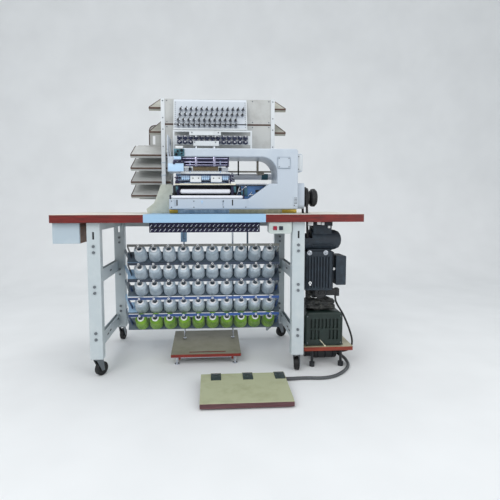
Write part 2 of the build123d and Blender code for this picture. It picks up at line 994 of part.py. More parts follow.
def thread_cone(x, rail_z):
    depth, z = row_base(rail_z)
    profile = [
        (cone_bore_radius, 0),
        (cone_base_radius, 0),
        (cone_nose_radius, cone_length),
        (cone_bore_radius, cone_length),
    ]
    return turned(profile, (x, depth, z), toward)


def eyelet_rail(rail_z):
    half = rail_height / 2
    rail_back = rail_depth + rail_thickness
    rail = block((rail_left, rail_right), (rail_depth, rail_back), (rail_z - half, rail_z + half))
    depth, z = row_base(rail_z)
    low_end = tilted(depth, z, 0, -rail_arm_half)
    high_end = tilted(depth, z, 0, rail_arm_half)
    eyelet_front = rail_depth - eyelet_proud
    pieces = [peg((x, eyelet_front, rail_z), (x, rail_depth + 1, rail_z), eyelet_radius) for x in cone_xs]
    for x in (rail_left, rail_right - rail_thickness):
        arm = [(rail_depth, rail_z - half), (rail_depth, rail_z + half), high_end, low_end]
        pieces.append(along_x(arm, (x, x + rail_thickness)))
    return rail + pieces


frames = [row_frame(z) for z in row_rail_z]
top_depth, top_z = row_base(row_rail_z[0])
hanger_foot = tilted(top_depth, top_z, -board_thickness / 2, board_half_height - 3)
hanger = rod((hanger_x, *hanger_foot), (hanger_x, hanger_foot[0], tray_under_z), hanger_radius)
frames[0] += hanger
save("creel_frames", *frames)
save("eyelet_rails", *[eyelet_rail(z) for z in row_rail_z])
save("grey_cones", *[thread_cone(x, z) for z in row_rail_z[:-1] for x in cone_xs])
save("green_cones", *[thread_cone(x, row_rail_z[-1]) for x in cone_xs])

# Looper tension bank, hung from the tray
bank = block((bank_left, bank_right), (bank_front, bank_back), (bank_low_z, bank_high_z))
bank_middle = (bank_front + bank_back) / 2
hanger_depth = (bank_middle - bank_hanger_sheet, bank_middle)
bank_pieces = [
    block((x, x + bank_hanger_width), hanger_depth, (bank_high_z - 2, tray_under_z))
    for x in (bank_left, bank_right - bank_hanger_width)
]
bank_pitch = (bank_right - bank_left) / bank_columns
for z in (bank_high_z - bank_row_inset, bank_low_z + bank_row_inset):
    for column in range(bank_columns):
        x = bank_left + bank_pitch * (column + 0.5)
        foot = (x - bank_peg_slant, bank_front + 1, z - bank_peg_slant)
        tip = (x + bank_peg_slant, bank_front - bank_peg_length, z + bank_peg_slant)
        bank_pieces.append(peg(foot, tip, bank_peg_radius))
save("looper_tension_bank", bank + bank_pieces)


# Sewing head: one casting of base, bed, column and arm, with the throat window through it
head_depths = (head_front, head_back)
outline = [
    (head_left, head_low_z),
    (head_right, head_low_z),
    (head_right, arm_top_z),
    (arm_left, arm_top_z),
    (arm_left, arm_low_z),
    (window_right, arm_low_z),
    (window_right, bed_top_z),
    (flare_top_x, bed_top_z),
    (flare_foot_x, base_top_z),
    (head_left, base_top_z),
]
casting = along_y(outline, head_depths)


def edge_near(shape, x, depth, z):
    """The edge along Y that lies nearest to a point."""
    return shape.edges().filter_by(Axis.Y).sort_by_distance(place(x, depth, z))[0]


casting = fillet(edge_near(casting, window_right, head_front, arm_low_z), window_corner)
casting = fillet(edge_near(casting, head_right, head_front, arm_top_z), head_corner)
front_face = casting.faces().sort_by(Axis.Y)[0]
casting = fillet(front_face.edges(), head_edge)
bed_under_z = bed_top_z - cloth_plate_thickness
bed_block_depth = (bed_block_front, bed_block_back)
casting += block((bed_block_left, bed_block_right), bed_block_depth, (head_low_z, bed_under_z))
casting -= block(looper_pit_x, looper_pit_depth, (head_low_z - 1, bed_top_z))
shaft_bore = shaft_radius + bore_clearance
shaft_seat_x = head_right - shaft_seat
casting -= rod((shaft_seat_x, shaft_depth, shaft_z), (head_right + 1, shaft_depth, shaft_z), shaft_bore)
for x in bar_rod_xs:
    bore_start = (x, needle_depth, arm_low_z - 1)
    casting -= rod(bore_start, (x, needle_depth, arm_top_z + 1), bar_rod_radius + journal_clearance)
save("head_casting", casting)

# Covers: front and column plates, vent, shaft guard and the box on the column's end
cover_front = head_front - cover_proud
front_cover = block(
    (head_left + cover_inset, flare_foot_x - cover_inset),
    (cover_front, head_front),
    (head_low_z + cover_rim, base_top_z - cover_rim),
)
for x in cover_slot_xs:
    slot_x = (x - cover_slot_half, x + cover_slot_half)
    front_cover -= block(slot_x, (cover_front - 1, head_front + 1), cover_slot_z)
front_cover = fillet(front_cover.edges().filter_by(Axis.Y).sort_by(Axis.X)[:2], cover_corner)
column_plate = block(column_plate_x, (head_front - plate_proud, head_front), column_plate_z)
column_plate = fillet(column_plate.edges().filter_by(Axis.Y), plate_corner)
vent = block(vent_x, (head_front - plate_proud, head_front), vent_z)
end_box = block((head_right, head_right + end_box_width), end_box_depth, end_box_z)
end_box = fillet(end_box.edges().filter_by(Axis.Y).sort_by(Axis.X)[-2:], end_box_corner)
guard = block((head_right, guard_right), guard_depth, guard_z)
guard = fillet(guard.edges().filter_by(Axis.X), guard_corner)
guard_bore = shaft_radius + guard_clearance
guard -= rod((head_right - 1, shaft_depth, shaft_z), (guard_right + 1, shaft_depth, shaft_z), guard_bore)

# Covers on the arm's left end
end_cover_top = arm_low_z + 1
end_cover_x = (end_cover_left, guide_left - end_cover_gap)
end_cover = block(end_cover_x, (head_front, end_cover_back), (end_cover_low_z, end_cover_top))
end_lip_z = (end_cover_low_z, end_lip_high_z)
end_cover += block((end_cover_left, end_lip_right), (cover_front, head_front + 1), end_lip_z)
end_cover = fillet(end_cover.edges().filter_by(Axis.Z).sort_by(Axis.Y)[:2], end_cover_corner)
end_block = block((end_block_left, arm_left), end_block_depth, (end_cover_top, arm_top_z - 1))
end_plate_x = (end_cover_left - end_plate_sheet, end_cover_left)
end_plate = block(end_plate_x, end_plate_depth, (end_cover_low_z, end_plate_high_z))
end_plate -= block((end_plate_x[0] - 1, end_plate_x[1] + 1), end_window_depth, end_window_z)
save("head_covers", front_cover, column_plate, vent, end_box, guard, end_cover, end_block, end_plate)

# Cloth plate with the needle slot, cut out round the column
needles_left = needle_centre_x - needle_pitch * (needle_count - 1) / 2
needles_right = -needles_left + 2 * needle_centre_x
plate_z = (bed_under_z, bed_top_z)
plate_cut_z = (bed_under_z - 1, bed_top_z + 1)
cloth_plate = block((cloth_plate_left, cloth_plate_right), (cloth_plate_front, cloth_plate_back), plate_z)
cloth_plate -= block(
    (needles_left - needle_slot_margin, needles_right + needle_slot_margin),
    (needle_depth - needle_slot_margin, needle_depth + needle_slot_margin),
    plate_cut_z,
)
notch_x = (flare_top_x - column_notch, cloth_plate_right + 1)
cloth_plate -= block(notch_x, (0, head_back + plate_gap), plate_cut_z)
save("cloth_plate", cloth_plate)


# Rollers on their journals, each between two brackets
def outside(x, gap, width):
    """Limits of the two brackets outside a roller that runs from x[0] to x[1]."""
    return ((x[0] - gap - width, x[0] - gap), (x[1] + gap, x[1] + gap + width))


def roller(x, depth, z, radius, supports):
    barrel = rod((x[0], depth, z), (x[1], depth, z), radius)
    return barrel + rod((supports[0][0], depth, z), (supports[1][1], depth, z), journal_radius)


def drilled(plate, x, depth, z):
    return plate - rod((x[0] - 1, depth, z), (x[1] + 1, depth, z), journal_radius + journal_clearance)


feed_supports = outside(feed_roller_x, roller_end_gap, feed_bracket_width)
takeup_supports = outside(takeup_roller_x, takeup_end_gap, takeup_bracket_width)
puller_supports = outside(puller_x, roller_end_gap, feed_bracket_width)
brackets = []
feed_bracket_front = feed_roller_depth - bracket_half
feed_bracket_points = [
    (feed_bracket_front, base_top_z),
    (bed_block_front, base_top_z),
    (bed_block_front, feed_bracket_high_z),
    (feed_bracket_front - bracket_lip, feed_bracket_high_z),
    (feed_bracket_front - bracket_lip, feed_bracket_lip_z),
]
for x in feed_supports:
    brackets.append(drilled(along_x(feed_bracket_points, x), x, feed_roller_depth, feed_roller_z))
takeup_bracket_depth = (takeup_roller_depth - bracket_half, takeup_roller_depth + bracket_half)
for x in takeup_supports:
    plate = block(x, takeup_bracket_depth, (base_top_z, takeup_roller_z + takeup_bracket_rise))
    brackets.append(drilled(plate, x, takeup_roller_depth, takeup_roller_z))
upright_depth = (puller_depth - upright_half, puller_depth + upright_half)
for x in puller_supports:
    upright = block(x, upright_depth, (bed_under_z, upright_high_z))
    brackets.append(drilled(upright, x, puller_depth, puller_z))
tie_bar_x = (puller_supports[0][1], puller_supports[1][0])
tie_bar = block(tie_bar_x, (puller_depth - tie_bar_half, puller_depth + tie_bar_half), tie_bar_z)
flare_slope = (flare_top_x - flare_foot_x) / (bed_top_z - base_top_z)
looper_cover_z = bed_under_z - looper_cover_drop
looper_cover_points = [
    (looper_cover_left, base_top_z),
    (flare_foot_x, base_top_z),
    (flare_foot_x + (looper_cover_z - base_top_z) * flare_slope, looper_cover_z),
    (looper_cover_left, looper_cover_z),
]
looper_cover = along_y(looper_cover_points, (bed_block_front - looper_cover_sheet, bed_block_front))
save("roller_brackets", *brackets, tie_bar, looper_cover)
feed_roller = roller(feed_roller_x, feed_roller_depth, feed_roller_z, feed_roller_radius, feed_supports)
save("feed_roller", feed_roller)
takeup = roller(takeup_roller_x, takeup_roller_depth, takeup_roller_z, takeup_roller_radius, takeup_supports)
save("takeup_roller", takeup)
save("rear_puller", roller(puller_x, puller_depth, puller_z, puller_radius, puller_supports))

# Needle bar guides: two cross bars with a collar for each rod, on cheeks and a back plate under the arm
guide_front = needle_depth - guide_out
guide_back = guide_front + guide_sheet
guide_unit = block((guide_left, guide_right), (guide_front, guide_back), guide_rows[0])
guide_unit += block((guide_left, guide_right), (guide_front, guide_back), guide_rows[1])
back_plate_front = needle_depth + collar_back
guide_unit += block(
    (guide_left + guide_inset, guide_right - guide_inset),
    (back_plate_front, back_plate_front + back_plate_sheet),
    (collar_rows[0][0], arm_low_z),
)
for x in bar_rod_xs:
    for collar_z in collar_rows:
        guide_unit += block((x - collar_half, x + collar_half), (guide_back, back_plate_front), collar_z)
    guide_unit -= rod(
        (x, needle_depth, guide_rows[0][0]), (x, needle_depth, arm_low_z), bar_rod_radius + journal_clearance
    )
for x in (guide_left + guide_inset, guide_right - guide_inset - guide_cheek):
    cheek_depth = (guide_front + 2, back_plate_front + 2)
    guide_unit += block((x, x + guide_cheek), cheek_depth, (guide_rows[0][0], arm_low_z))
for x in presser_rod_xs:
    guide_unit -= rod(
        (x, presser_depth, guide_rows[0][0] - 1),
        (x, presser_depth, guide_rows[1][1] + 1),
        presser_rod_radius + journal_clearance,
    )
save("needle_bar_guides", guide_unit)

# Needle bar: the clamp, its needles and two rods that run up through the arm
clamp = block(
    (guide_left + clamp_inset, guide_right - clamp_inset),
    (needle_depth - clamp_depth / 2, needle_depth + clamp_depth / 2),
    (clamp_low_z, clamp_high_z),
)
needle_top = clamp_low_z + 1
needle_tip_z = clamp_low_z - needle_length
bar_pieces = []
for number in range(needle_count):
    x = needles_left + needle_pitch * number
    bar_pieces.append(peg((x, needle_depth, needle_top), (x, needle_depth, needle_tip_z), needle_radius))
for x in bar_rod_xs:
    rod_top = (x, needle_depth, arm_top_z + bar_rod_rise)
    bar_pieces.append(rod((x, needle_depth, clamp_high_z - 1), rod_top, bar_rod_radius))
save("needle_bar", clamp + bar_pieces)

# Presser: an upright strip with two feet, on rods that run in the guides in front of the clamp
presser_x = (guide_left + clamp_inset, presser_right)
presser = block(presser_x, (presser_front - presser_sheet, presser_front), presser_z)
rail_back = needle_depth - clamp_depth / 2 - 1
presser += block((presser_x[0], guide_right), (presser_front - presser_rail, rail_back), presser_rail_z)
toe_depth = presser_front - presser_rail - presser_toe
sole_back = needle_depth - presser_needle_gap
foot_points = [
    (presser_front - presser_rail, presser_rail_z[1]),
    (toe_depth, presser_sole_z + presser_sole_height),
    (toe_depth, presser_sole_z),
    (sole_back, presser_sole_z),
    (sole_back, presser_sole_z + presser_sole_height),
    (rail_back, presser_rail_z[0]),
    (rail_back, presser_rail_z[1]),
]
for x in presser_foot_xs:
    presser += along_x(foot_points, x)
for x in presser_rod_xs:
    rod_start = (x, presser_depth, presser_z[1] - 2)
    presser += rod(rod_start, (x, presser_depth, presser_rod_top), presser_rod_radius)
save("presser_foot", presser)


# Upper thread rack: posts, tilted boards with spool pins, and cover panels
post_depths = (rack_front, rack_front + post_depth)
rear_panel_depth = post_depths[1] + lower_shelf_run
rear_panel_back = rear_panel_depth + panel_sheet
left_post = block((rack_left, rack_left + post_width), post_depths, (table_top_z, rack_top_z))
right_post = block((rack_right - post_width, rack_right), post_depths, (arm_top_z, rack_top_z))
rear_post = block(
    (lower_shelf_right - post_width, lower_shelf_right),
    (rear_panel_back, rear_panel_back + post_depth),
    (table_top_z, rear_post_high_z),
)
save("rack_posts", left_post, right_post, rear_post)


def shelf(left, right, taper, front_z, run_back, rise, pins):
    slope = atan2(rise, run_back)
    thick = board_sheet / cos(slope)
    front = post_depths[1]
    back = front + run_back
    back_z = front_z + rise
    profile = [(front, front_z), (back, back_z), (back, back_z - thick), (front, front_z - thick)]
    wedge = along_x(profile, (left, right))
    if taper > 0:
        plan = [(left, front - 1), (right, front - 1), (right - taper, back + 1), (left + taper, back + 1)]
        wedge = wedge & along_z(plan, (front_z - 2 * thick, back_z + thick))
    lip = [
        (front, front_z),
        (front, front_z - thick),
        (front + shelf_lip, front_z - thick - shelf_lip),
        (front + shelf_lip + 2, front_z - 2),
    ]
    wedge += along_x(lip, (left, right))
    if pins == 0:
        return wedge
    normal = (-sin(slope), cos(slope))
    middle = (front + run_back * 0.5, front_z + rise * 0.5)
    step = (right - left - 2 * taper) / pins
    spool_pins = []
    for number in range(pins):
        x = left + taper + step * (number + 0.5)
        foot = (x, middle[0] - normal[0], middle[1] - normal[1])
        tip = (x, middle[0] + normal[0] * spool_pin_length, middle[1] + normal[1] * spool_pin_length)
        spool_pins.append(peg(foot, tip, spool_pin_radius))
    return wedge + spool_pins


lower_boards = [
    shelf(lower_shelf_left, lower_shelf_right, 0, z, lower_shelf_run, lower_shelf_rise, 0)
    for z in lower_shelf_front_z
]
save("lower_shelves", *lower_boards)
upper_boards = [
    shelf(upper_shelf_left, upper_shelf_right, upper_shelf_taper, z, upper_shelf_run, upper_shelf_rise, pins)
    for z, pins in zip(upper_shelf_front_z, upper_shelf_pins)
]
save("upper_shelves", *upper_boards)

panel_x = (rack_left + post_width, rack_right - post_width)
panel_front = rack_front + panel_setback
panel_depth = (panel_front, panel_front + panel_sheet)
upper_panel = block(panel_x, panel_depth, (panel_split_z + panel_gap / 2, rack_top_z - panel_setback))
lower_panel = block(panel_x, panel_depth, (panel_low_z, panel_split_z - panel_gap / 2))
rear_low_z = lower_shelf_front_z[-1] - rear_panel_drop
rear_left = lower_shelf_left + rear_panel_inset
hood_left = rack_left - hood_width
rear_outline = [
    (rear_left, rear_low_z),
    (lower_shelf_right, rear_low_z),
    (lower_shelf_right, hood_low_z),
    (rack_left, hood_low_z),
    (rack_left, hood_high_z),
    (hood_left, hood_high_z),
    (hood_left, hood_low_z),
    (rear_left, hood_low_z),
]
rear_panel = along_y(rear_outline, (rear_panel_depth, rear_panel_back))
rear_panel = fillet(edge_near(rear_panel, hood_left, rear_panel_depth, hood_high_z), hood_corner)
hood_slot_x = (hood_left + hood_slot_inset, hood_left + hood_slot_inset + hood_slot_width)
rear_panel -= block(hood_slot_x, (rear_panel_depth - 1, rear_panel_back + 1), hood_slot_z)


def rear_pin(x, z):
    """Spool pin with its seat, leaning up from the back of the rear panel."""
    foot = rear_panel_back - 1

    def point(reach):
        return (x, foot + reach * cos(tilt), z + reach * sin(tilt))

    seat = rod(point(pin_seat_gap), point(pin_seat_gap + pin_seat_length), pin_seat_radius)
    return rod(point(0), point(spool_pin_length), spool_pin_radius) + seat


pin_step = (lower_shelf_right - post_width - lower_shelf_left) / rear_pins_per_row
first_pin_x = lower_shelf_left + rear_pin_inset + pin_step / 2
rear_pin_xs = [first_pin_x + pin_step * number for number in range(rear_pins_per_row)]
rear_panel += [rear_pin(x, z + rear_pin_rise) for z in lower_shelf_front_z for x in rear_pin_xs]
save("rack_panels", upper_panel, lower_panel, rear_panel)

# Upper tension bank: a leaning plate between gussets, with fifty tension units
lean = atan2(tension_high_depth - tension_low_depth, tension_high_z - tension_low_z)
rack_seat = panel_depth[0]
bank_lip_front = tension_low_depth - tension_lip
face_points = [
    (bank_lip_front, tension_low_z),
    (bank_lip_front, tension_low_z + tension_sheet),
    (tension_low_depth, tension_low_z + tension_sheet),
    (tension_high_depth, tension_high_z),
    (rack_seat, tension_rim_z),
    (rack_seat, tension_rim_z - tension_sheet),
    (tension_high_depth + tension_sheet, tension_high_z - tension_sheet),
    (tension_low_depth + tension_sheet, tension_low_z),
]
bank_plate = along_x(face_points, (tension_left, tension_right))
gusset_points = [
    (bank_lip_front, tension_low_z),
    (tension_low_depth + 1, tension_low_z + tension_sheet),
    (tension_high_depth + 1, tension_high_z - 1),
    (rack_seat, tension_rim_z - 1),
    (rack_seat, gusset_notch_z + gusset_notch_half),
    (tension_high_depth, gusset_notch_z),
    (rack_seat, gusset_notch_z - gusset_notch_half),
    (rack_seat, tension_low_z + tension_sheet),
]
gussets = [
    along_x(gusset_points, (x, x + tension_sheet)) for x in (tension_left, tension_right - tension_sheet)
]


def tension_unit(x, z):
    """Two tension discs on a post with its spring seat, square to the leaning plate."""
    depth = tension_low_depth + (z - tension_low_z) * tan(lean)
    out = (-cos(lean), sin(lean))

    def point(reach):
        return (x, depth + out[0] * reach, z + out[1] * reach)

    post = peg(point(-1), point(tension_post_length), tension_post_radius)
    discs = []
    for start, radius in zip(tension_disc_starts, tension_disc_radii):
        discs.append(peg(point(start), point(start + tension_disc), radius, 10))
    return post + discs


units = [
    tension_unit(first_x + tension_pitch * column, z)
    for z, count, first_x in tension_rows
    for column in range(count)
]
save("tension_panel", bank_plate + gussets + units)

# Thread guide frame standing on the arm and the end cover
frame_y = (frame_depth, frame_depth + frame_section)
rail_y = (frame_depth + frame_section / 4, frame_depth + frame_section * 3 / 4)
guide_frame = block((frame_left, frame_left + frame_bar), frame_y, (end_cover_top, frame_top_z))
guide_frame += block((frame_right - frame_bar, frame_right), frame_y, (arm_top_z, frame_top_z))
guide_frame += block((frame_left, frame_right), frame_y, (frame_top_z - frame_bar, frame_top_z))
guide_frame += block((frame_left, frame_right), rail_y, (guide_rail_low, guide_rail_high))
column_pitch = (frame_right - frame_left - 2 * guide_margin) / guide_columns
guide_pegs = []
for z, lift in guide_peg_rows:
    for column in range(guide_columns):
        x = frame_left + guide_margin + column_pitch * (column + 0.5)
        tip = (x, frame_depth - guide_peg_out, z + lift)
        guide_pegs.append(peg((x, rail_y[0] + 1, z), tip, guide_peg_radius))
guide_frame += guide_pegs
shield_depth = (frame_depth - shield_out - shield_sheet, frame_depth - shield_out)
stay_depth = (shield_depth[1] - 1, rail_y[0] + 1)
for shield_x, shield_z, stay_z in guide_shields:
    guide_frame += block(shield_x, shield_depth, shield_z)
    for x in shield_stay_xs:
        guide_frame += block((x - shield_stay_half, x + shield_stay_half), stay_depth, stay_z)
save("thread_guide_frame", guide_frame)


# Handwheel and stepped pulley on the main shaft
pulley_middle = pulley_left + pulley_width / 2
reach = handwheel_right - pulley_left
rim_back = pulley_width + handwheel_neck + handwheel_flare
wheel_profile = [
    (0, 0),
    (pulley_radius, 0),
    (pulley_radius, flange_width),
    (belt_seat_radius, groove_start),
    (belt_seat_radius, pulley_width - groove_start),
    (pulley_radius - rear_flange_drop, pulley_width - flange_width),
    (pulley_radius - rear_flange_drop, pulley_width),
    (handwheel_neck_radius, pulley_width),
    (handwheel_neck_radius, pulley_width + handwheel_neck),
    (handwheel_radius - handwheel_round, rim_back - handwheel_round / 2),
    (handwheel_radius, rim_back + handwheel_round / 4),
    (handwheel_radius, reach - handwheel_round),
    (handwheel_radius - handwheel_round, reach),
    (handwheel_radius - 2 * handwheel_round, reach),
    (handwheel_nut_radius + 4, reach - handwheel_dish),
    (handwheel_nut_radius, reach - 2),
    (0, reach - 2),
]
handwheel = turned(wheel_profile, (pulley_left, shaft_depth, shaft_z), Vector(1, 0, 0))
shaft_start = (shaft_seat_x + shaft_end_gap, shaft_depth, shaft_z)
handwheel += rod(shaft_start, (pulley_left + 1, shaft_depth, shaft_z), shaft_radius)
save("handwheel", handwheel)


# Belt from the handwheel's pulley through the table to the motor's pulley
def belt_loop(grow, x):
    upper = Pos(shaft_depth, shaft_z) * Circle(belt_seat_radius + grow)
    lower = Pos(motor_depth, motor_z) * Circle(motor_pulley_radius + grow)
    hull = make_hull(upper.edges() + lower.edges())
    side = Plane(origin=place(x[0], 0, 0), x_dir=(0, 1, 0), z_dir=(1, 0, 0))
    return side * extrude(hull, x[1] - x[0])


belt_x = (pulley_middle - belt_width / 2, pulley_middle + belt_width / 2)
belt = belt_loop(turning_gap + belt_thickness, belt_x)
belt -= belt_loop(turning_gap, (belt_x[0] - 1, belt_x[1] + 1))
save("drive_belt", belt)

# Main motor under the right wing, with the guard round its pulley
motor_foot = (motor_left, motor_depth, motor_z)
motor = rod(motor_foot, (motor_right, motor_depth, motor_z), motor_radius)
bell_length = motor_end_x - motor_right
bell_points = [
    (0, 0),
    (motor_radius - bell_step, 0),
    (motor_radius - 2 * bell_step, bell_length * 0.4),
    (motor_radius * 0.75, bell_length * 0.8),
    (motor_radius * 0.5, bell_length),
    (0, bell_length),
]
motor += turned(bell_points, (motor_right, motor_depth, motor_z), Vector(1, 0, 0))
motor += block(
    (motor_left + motor_mount_inset, motor_right - motor_mount_inset),
    (motor_depth - motor_mount_half, motor_depth + motor_mount_half),
    (motor_z + motor_radius / 2, underside_z),
)
motor_bore_end = (motor_left + motor_shaft_seat, motor_depth, motor_z)
motor -= rod((motor_left - 1, motor_depth, motor_z), motor_bore_end, motor_shaft_radius + bore_clearance)
guard_x = (pulley_left - guard_end_gap, motor_left - 1)
guard_start = (guard_x[0], motor_depth, motor_z)
pulley_guard = rod(guard_start, (guard_x[1] + 1, motor_depth, motor_z), motor_radius)
guard_open = (guard_x[0] + guard_wall, guard_x[1] + 2)
pulley_guard -= rod(
    (guard_open[0], motor_depth, motor_z), (guard_open[1], motor_depth, motor_z), motor_radius - guard_wall
)
pulley_guard -= block(
    guard_open,
    (motor_depth - motor_radius - 1, motor_depth + motor_radius + 1),
    (motor_z + guard_mouth, motor_z + motor_radius + 1),
)
save("main_motor", motor, pulley_guard)

flange_radius = motor_pulley_radius + motor_flange
pulley_points = [
    (0, 0),
    (flange_radius, 0),
    (flange_radius, motor_flange_width),
    (motor_pulley_radius, groove_start),
    (motor_pulley_radius, pulley_width - groove_start),
    (flange_radius, pulley_width - motor_flange_width),
    (flange_radius, pulley_width),
    (0, pulley_width),
]
small_pulley = turned(pulley_points, (pulley_left, motor_depth, motor_z), Vector(1, 0, 0))
motor_shaft_end = (motor_left + motor_shaft_seat - shaft_end_gap, motor_depth, motor_z)
small_pulley += rod((pulley_left + 1, motor_depth, motor_z), motor_shaft_end, motor_shaft_radius)
save("motor_pulley", small_pulley)

# Finned housing under the motor, with the black tension wheel and arm below it
housing = block((housing_left, housing_right), (housing_front, housing_back), (housing_low_z, housing_top_z))
housing = fillet(housing.edges().filter_by(Axis.Z), housing_corner)
rib_run = (housing_right - housing_left - 2 * rib_margin) / (rib_count - 1)
rib_z = (housing_low_z + rib_foot, housing_top_z - rib_head)
ribs = []
for number in range(rib_count):
    x = housing_left + rib_margin + rib_run * number
    rib_x = (x - rib_width / 2, x + rib_width / 2)
    ribs.append(block(rib_x, (housing_front - rib_depth, housing_front + 1), rib_z))
    ribs.append(block(rib_x, (housing_back - 1, housing_back + rib_depth), rib_z))
housing += ribs
neck = block(
    (housing_left + neck_inset, housing_right - neck_inset),
    (motor_depth - neck_half, motor_depth + neck_half),
    (housing_top_z, motor_z - motor_radius + neck_rise),
)
housing += neck - rod((housing_left, motor_depth, motor_z), (motor_end_x, motor_depth, motor_z), motor_radius)
hub_start = (tension_hub_x[0], motor_depth, tension_hub_z)
hub = rod(hub_start, (tension_hub_x[1], motor_depth, tension_hub_z), hub_wheel_radius)
hub = fillet(hub.edges(), hub_round)
arm_points = [
    (tension_hub_x[1] - hub_round, tension_hub_z - arm_half),
    (tension_arm_end_x, tension_hub_z - arm_half),
    (tension_arm_end_x, tension_hub_z + arm_half),
    (tension_hub_x[1] - hub_round, tension_hub_z + arm_half),
]
arm = along_y(arm_points, (motor_depth - arm_front, motor_depth + arm_back))
save("finned_housing", housing + hub + arm)

control_depth = (housing_front + control_inset, housing_back - control_inset)
control = block((control_left, control_right), control_depth, (control_low_z, control_high_z))
control = fillet(control.edges().filter_by(Axis.Y), control_corner)
control += block(
    (housing_right, control_left + 1),
    (housing_front + control_neck_inset, housing_back - control_neck_inset),
    (control_low_z + control_neck_inset, control_high_z - control_neck_inset),
)
knob_x = (housing_right + control_left) / 2
knob_back = housing_front + control_neck_inset
control += rod((knob_x, knob_back - knob_length, knob_z), (knob_x, knob_back + 1, knob_z), knob_radius)
save("control_box", control)

# Blower motor with louvres, on its platform
blower = block((blower_left, blower_right), (blower_front, blower_back), (blower_low_z, blower_high_z))
blower = fillet(blower.edges().filter_by(Axis.Y).sort_by(Axis.Z)[-2:], blower_shoulder)
blower = fillet(blower.edges().filter_by(Axis.Z).sort_by(Axis.Y)[:2], blower_corner)
louvre_pitch = (blower_right - blower_left - 2 * louvre_margin) / louvre_count
louvres = []
for row, louvre_z in enumerate(louvre_rows):
    for number in range(louvre_count):
        x = blower_left + louvre_margin + louvre_pitch * (number + 0.5)
        if row == 1 or number not in louvres_left_out:
            louvre_x = (x - louvre_half, x + louvre_half)
            louvres.append(block(louvre_x, (blower_front - 1, blower_front + louvre_depth), louvre_z))
blower -= louvres
blower += block(
    (blower_left + blower_foot_inset, blower_right - blower_foot_inset),
    (blower_front + blower_foot_inset, blower_back - blower_foot_inset),
    (platform_top_z, blower_low_z),
)
save("blower_motor", blower)

duct = block(duct_x, duct_depth, (blower_high_z, duct_high_z))
duct = fillet(duct.edges().filter_by(Axis.Y), duct_corner)
duct_hollow_x = (tension_hub_x[0] - duct_hub_gap, duct_x[1] + 1)
duct_hollow_depth = (duct_depth[0] - 1, duct_depth[1] + 1)
duct_hollow_z = (tension_hub_z - hub_wheel_radius - duct_hub_gap, duct_high_z + 1)
duct -= block(duct_hollow_x, duct_hollow_depth, duct_hollow_z)
duct += block(duct_riser_x, duct_riser_depth, (duct_high_z - duct_corner, housing_low_z))
save("motor_duct", duct)

platform_under = platform_top_z - platform_thickness
platform_depth = (platform_front, platform_back)
platform = block((platform_left, platform_right), platform_depth, (platform_under, platform_top_z))
platform = fillet(platform.edges().filter_by(Axis.Z), platform_corner)
feet = []
for x in platform_foot_xs:
    for depth in (platform_front + platform_foot_inset, platform_back - platform_foot_inset):
        foot = rod((x, depth, 0), (x, depth, platform_foot_height), platform_foot_radius)
        feet.append(foot + rod((x, depth, 1), (x, depth, platform_under), platform_stem_radius))
save("motor_platform", platform, *feet)

tank = rod((tank_left, tank_depth, tank_z), (tank_right, tank_depth, tank_z), tank_radius)
tank = fillet(tank.edges(), tank_round)
tank += rod((tank_left - pump_length, tank_depth, tank_z), (tank_left + 2, tank_depth, tank_z), pump_radius)
for x in (tank_left + tank_strap_inset, tank_right - tank_strap_inset):
    tank += block(
        (x - tank_strap_half, x + tank_strap_half),
        (tank_depth - tank_radius / 2, tank_depth + tank_radius / 2),
        (tank_z, platform_under),
    )


def port(route, length, radius):
    """Stub in line with the last run of a cord, from where the cord ends."""
    before, end = (Vector(*point) for point in route[-2:])
    far = end + (end - before).normalized() * length
    return rod(tuple(end), tuple(far), radius)


tank += port(hose_route, hose_port_length, hose_radius + port_wall)
tank += port(cable_route, cable_port_length, cable_radius + port_wall)
save("air_tank", tank)


# Treadle on its stand, and the rods that run up behind the creel
treadle_angle = radians(treadle_tilt)
rise = sin(treadle_angle)
level = cos(treadle_angle)
rear = (treadle_front + treadle_run * level, treadle_front_z + treadle_run * rise)
drop = (treadle_thickness * rise, -treadle_thickness * level)
treadle_points = [
    (treadle_front, treadle_front_z),
    rear,
    (rear[0] + drop[0], rear[1] + drop[1]),
    (treadle_front + drop[0], treadle_front_z + drop[1]),
]
treadle = along_x(treadle_points, (treadle_left, treadle_right))
slot_z = (treadle_front_z - 30, treadle_front_z + 30)
slot_front = treadle_front + treadle_slot_setback
treadle -= block(
    (treadle_left + treadle_slot_left, treadle_right - treadle_slot_right),
    (slot_front, slot_front + treadle_slot_width),
    slot_z,
)
lug_points = [
    (pivot_depth - lug_reach, pivot_z - lug_reach),
    (pivot_depth + lug_reach, pivot_z - lug_reach),
    (pivot_depth + lug_reach + 3, lug_top_z),
    (pivot_depth - lug_reach - 3, lug_top_z),
]
for x in (treadle_left + lug_inset, treadle_right - lug_inset):
    treadle += along_x(lug_points, (x - lug_half, x + lug_half))
pivot_end = (treadle_right, pivot_depth, pivot_z)
treadle -= rod((treadle_left, pivot_depth, pivot_z), pivot_end, pivot_radius + journal_clearance)
save("treadle", treadle)
stand_left = treadle_left + stand_inset
stand_right = treadle_right - stand_inset
stand = rod((stand_left, pivot_depth, pivot_z), (stand_right, pivot_depth, pivot_z), pivot_radius)
cheek_points = [
    (pivot_depth - 10, stand_foot - 1),
    (pivot_depth + 10, stand_foot - 1),
    (pivot_depth + 7, pivot_z + 6),
    (pivot_depth - 7, pivot_z + 6),
]
for x in (stand_left, stand_right - stand_cheek):
    middle_x = x + stand_cheek / 2
    stand += along_x(cheek_points, (x, x + stand_cheek))
    stand += rod((middle_x, pivot_depth, 0), (middle_x, pivot_depth, stand_foot), stand_foot_radius)
save("treadle_stand", stand)


def treadle_surface(depth):
    return treadle_front_z + (depth - treadle_front) * tan(treadle_angle)


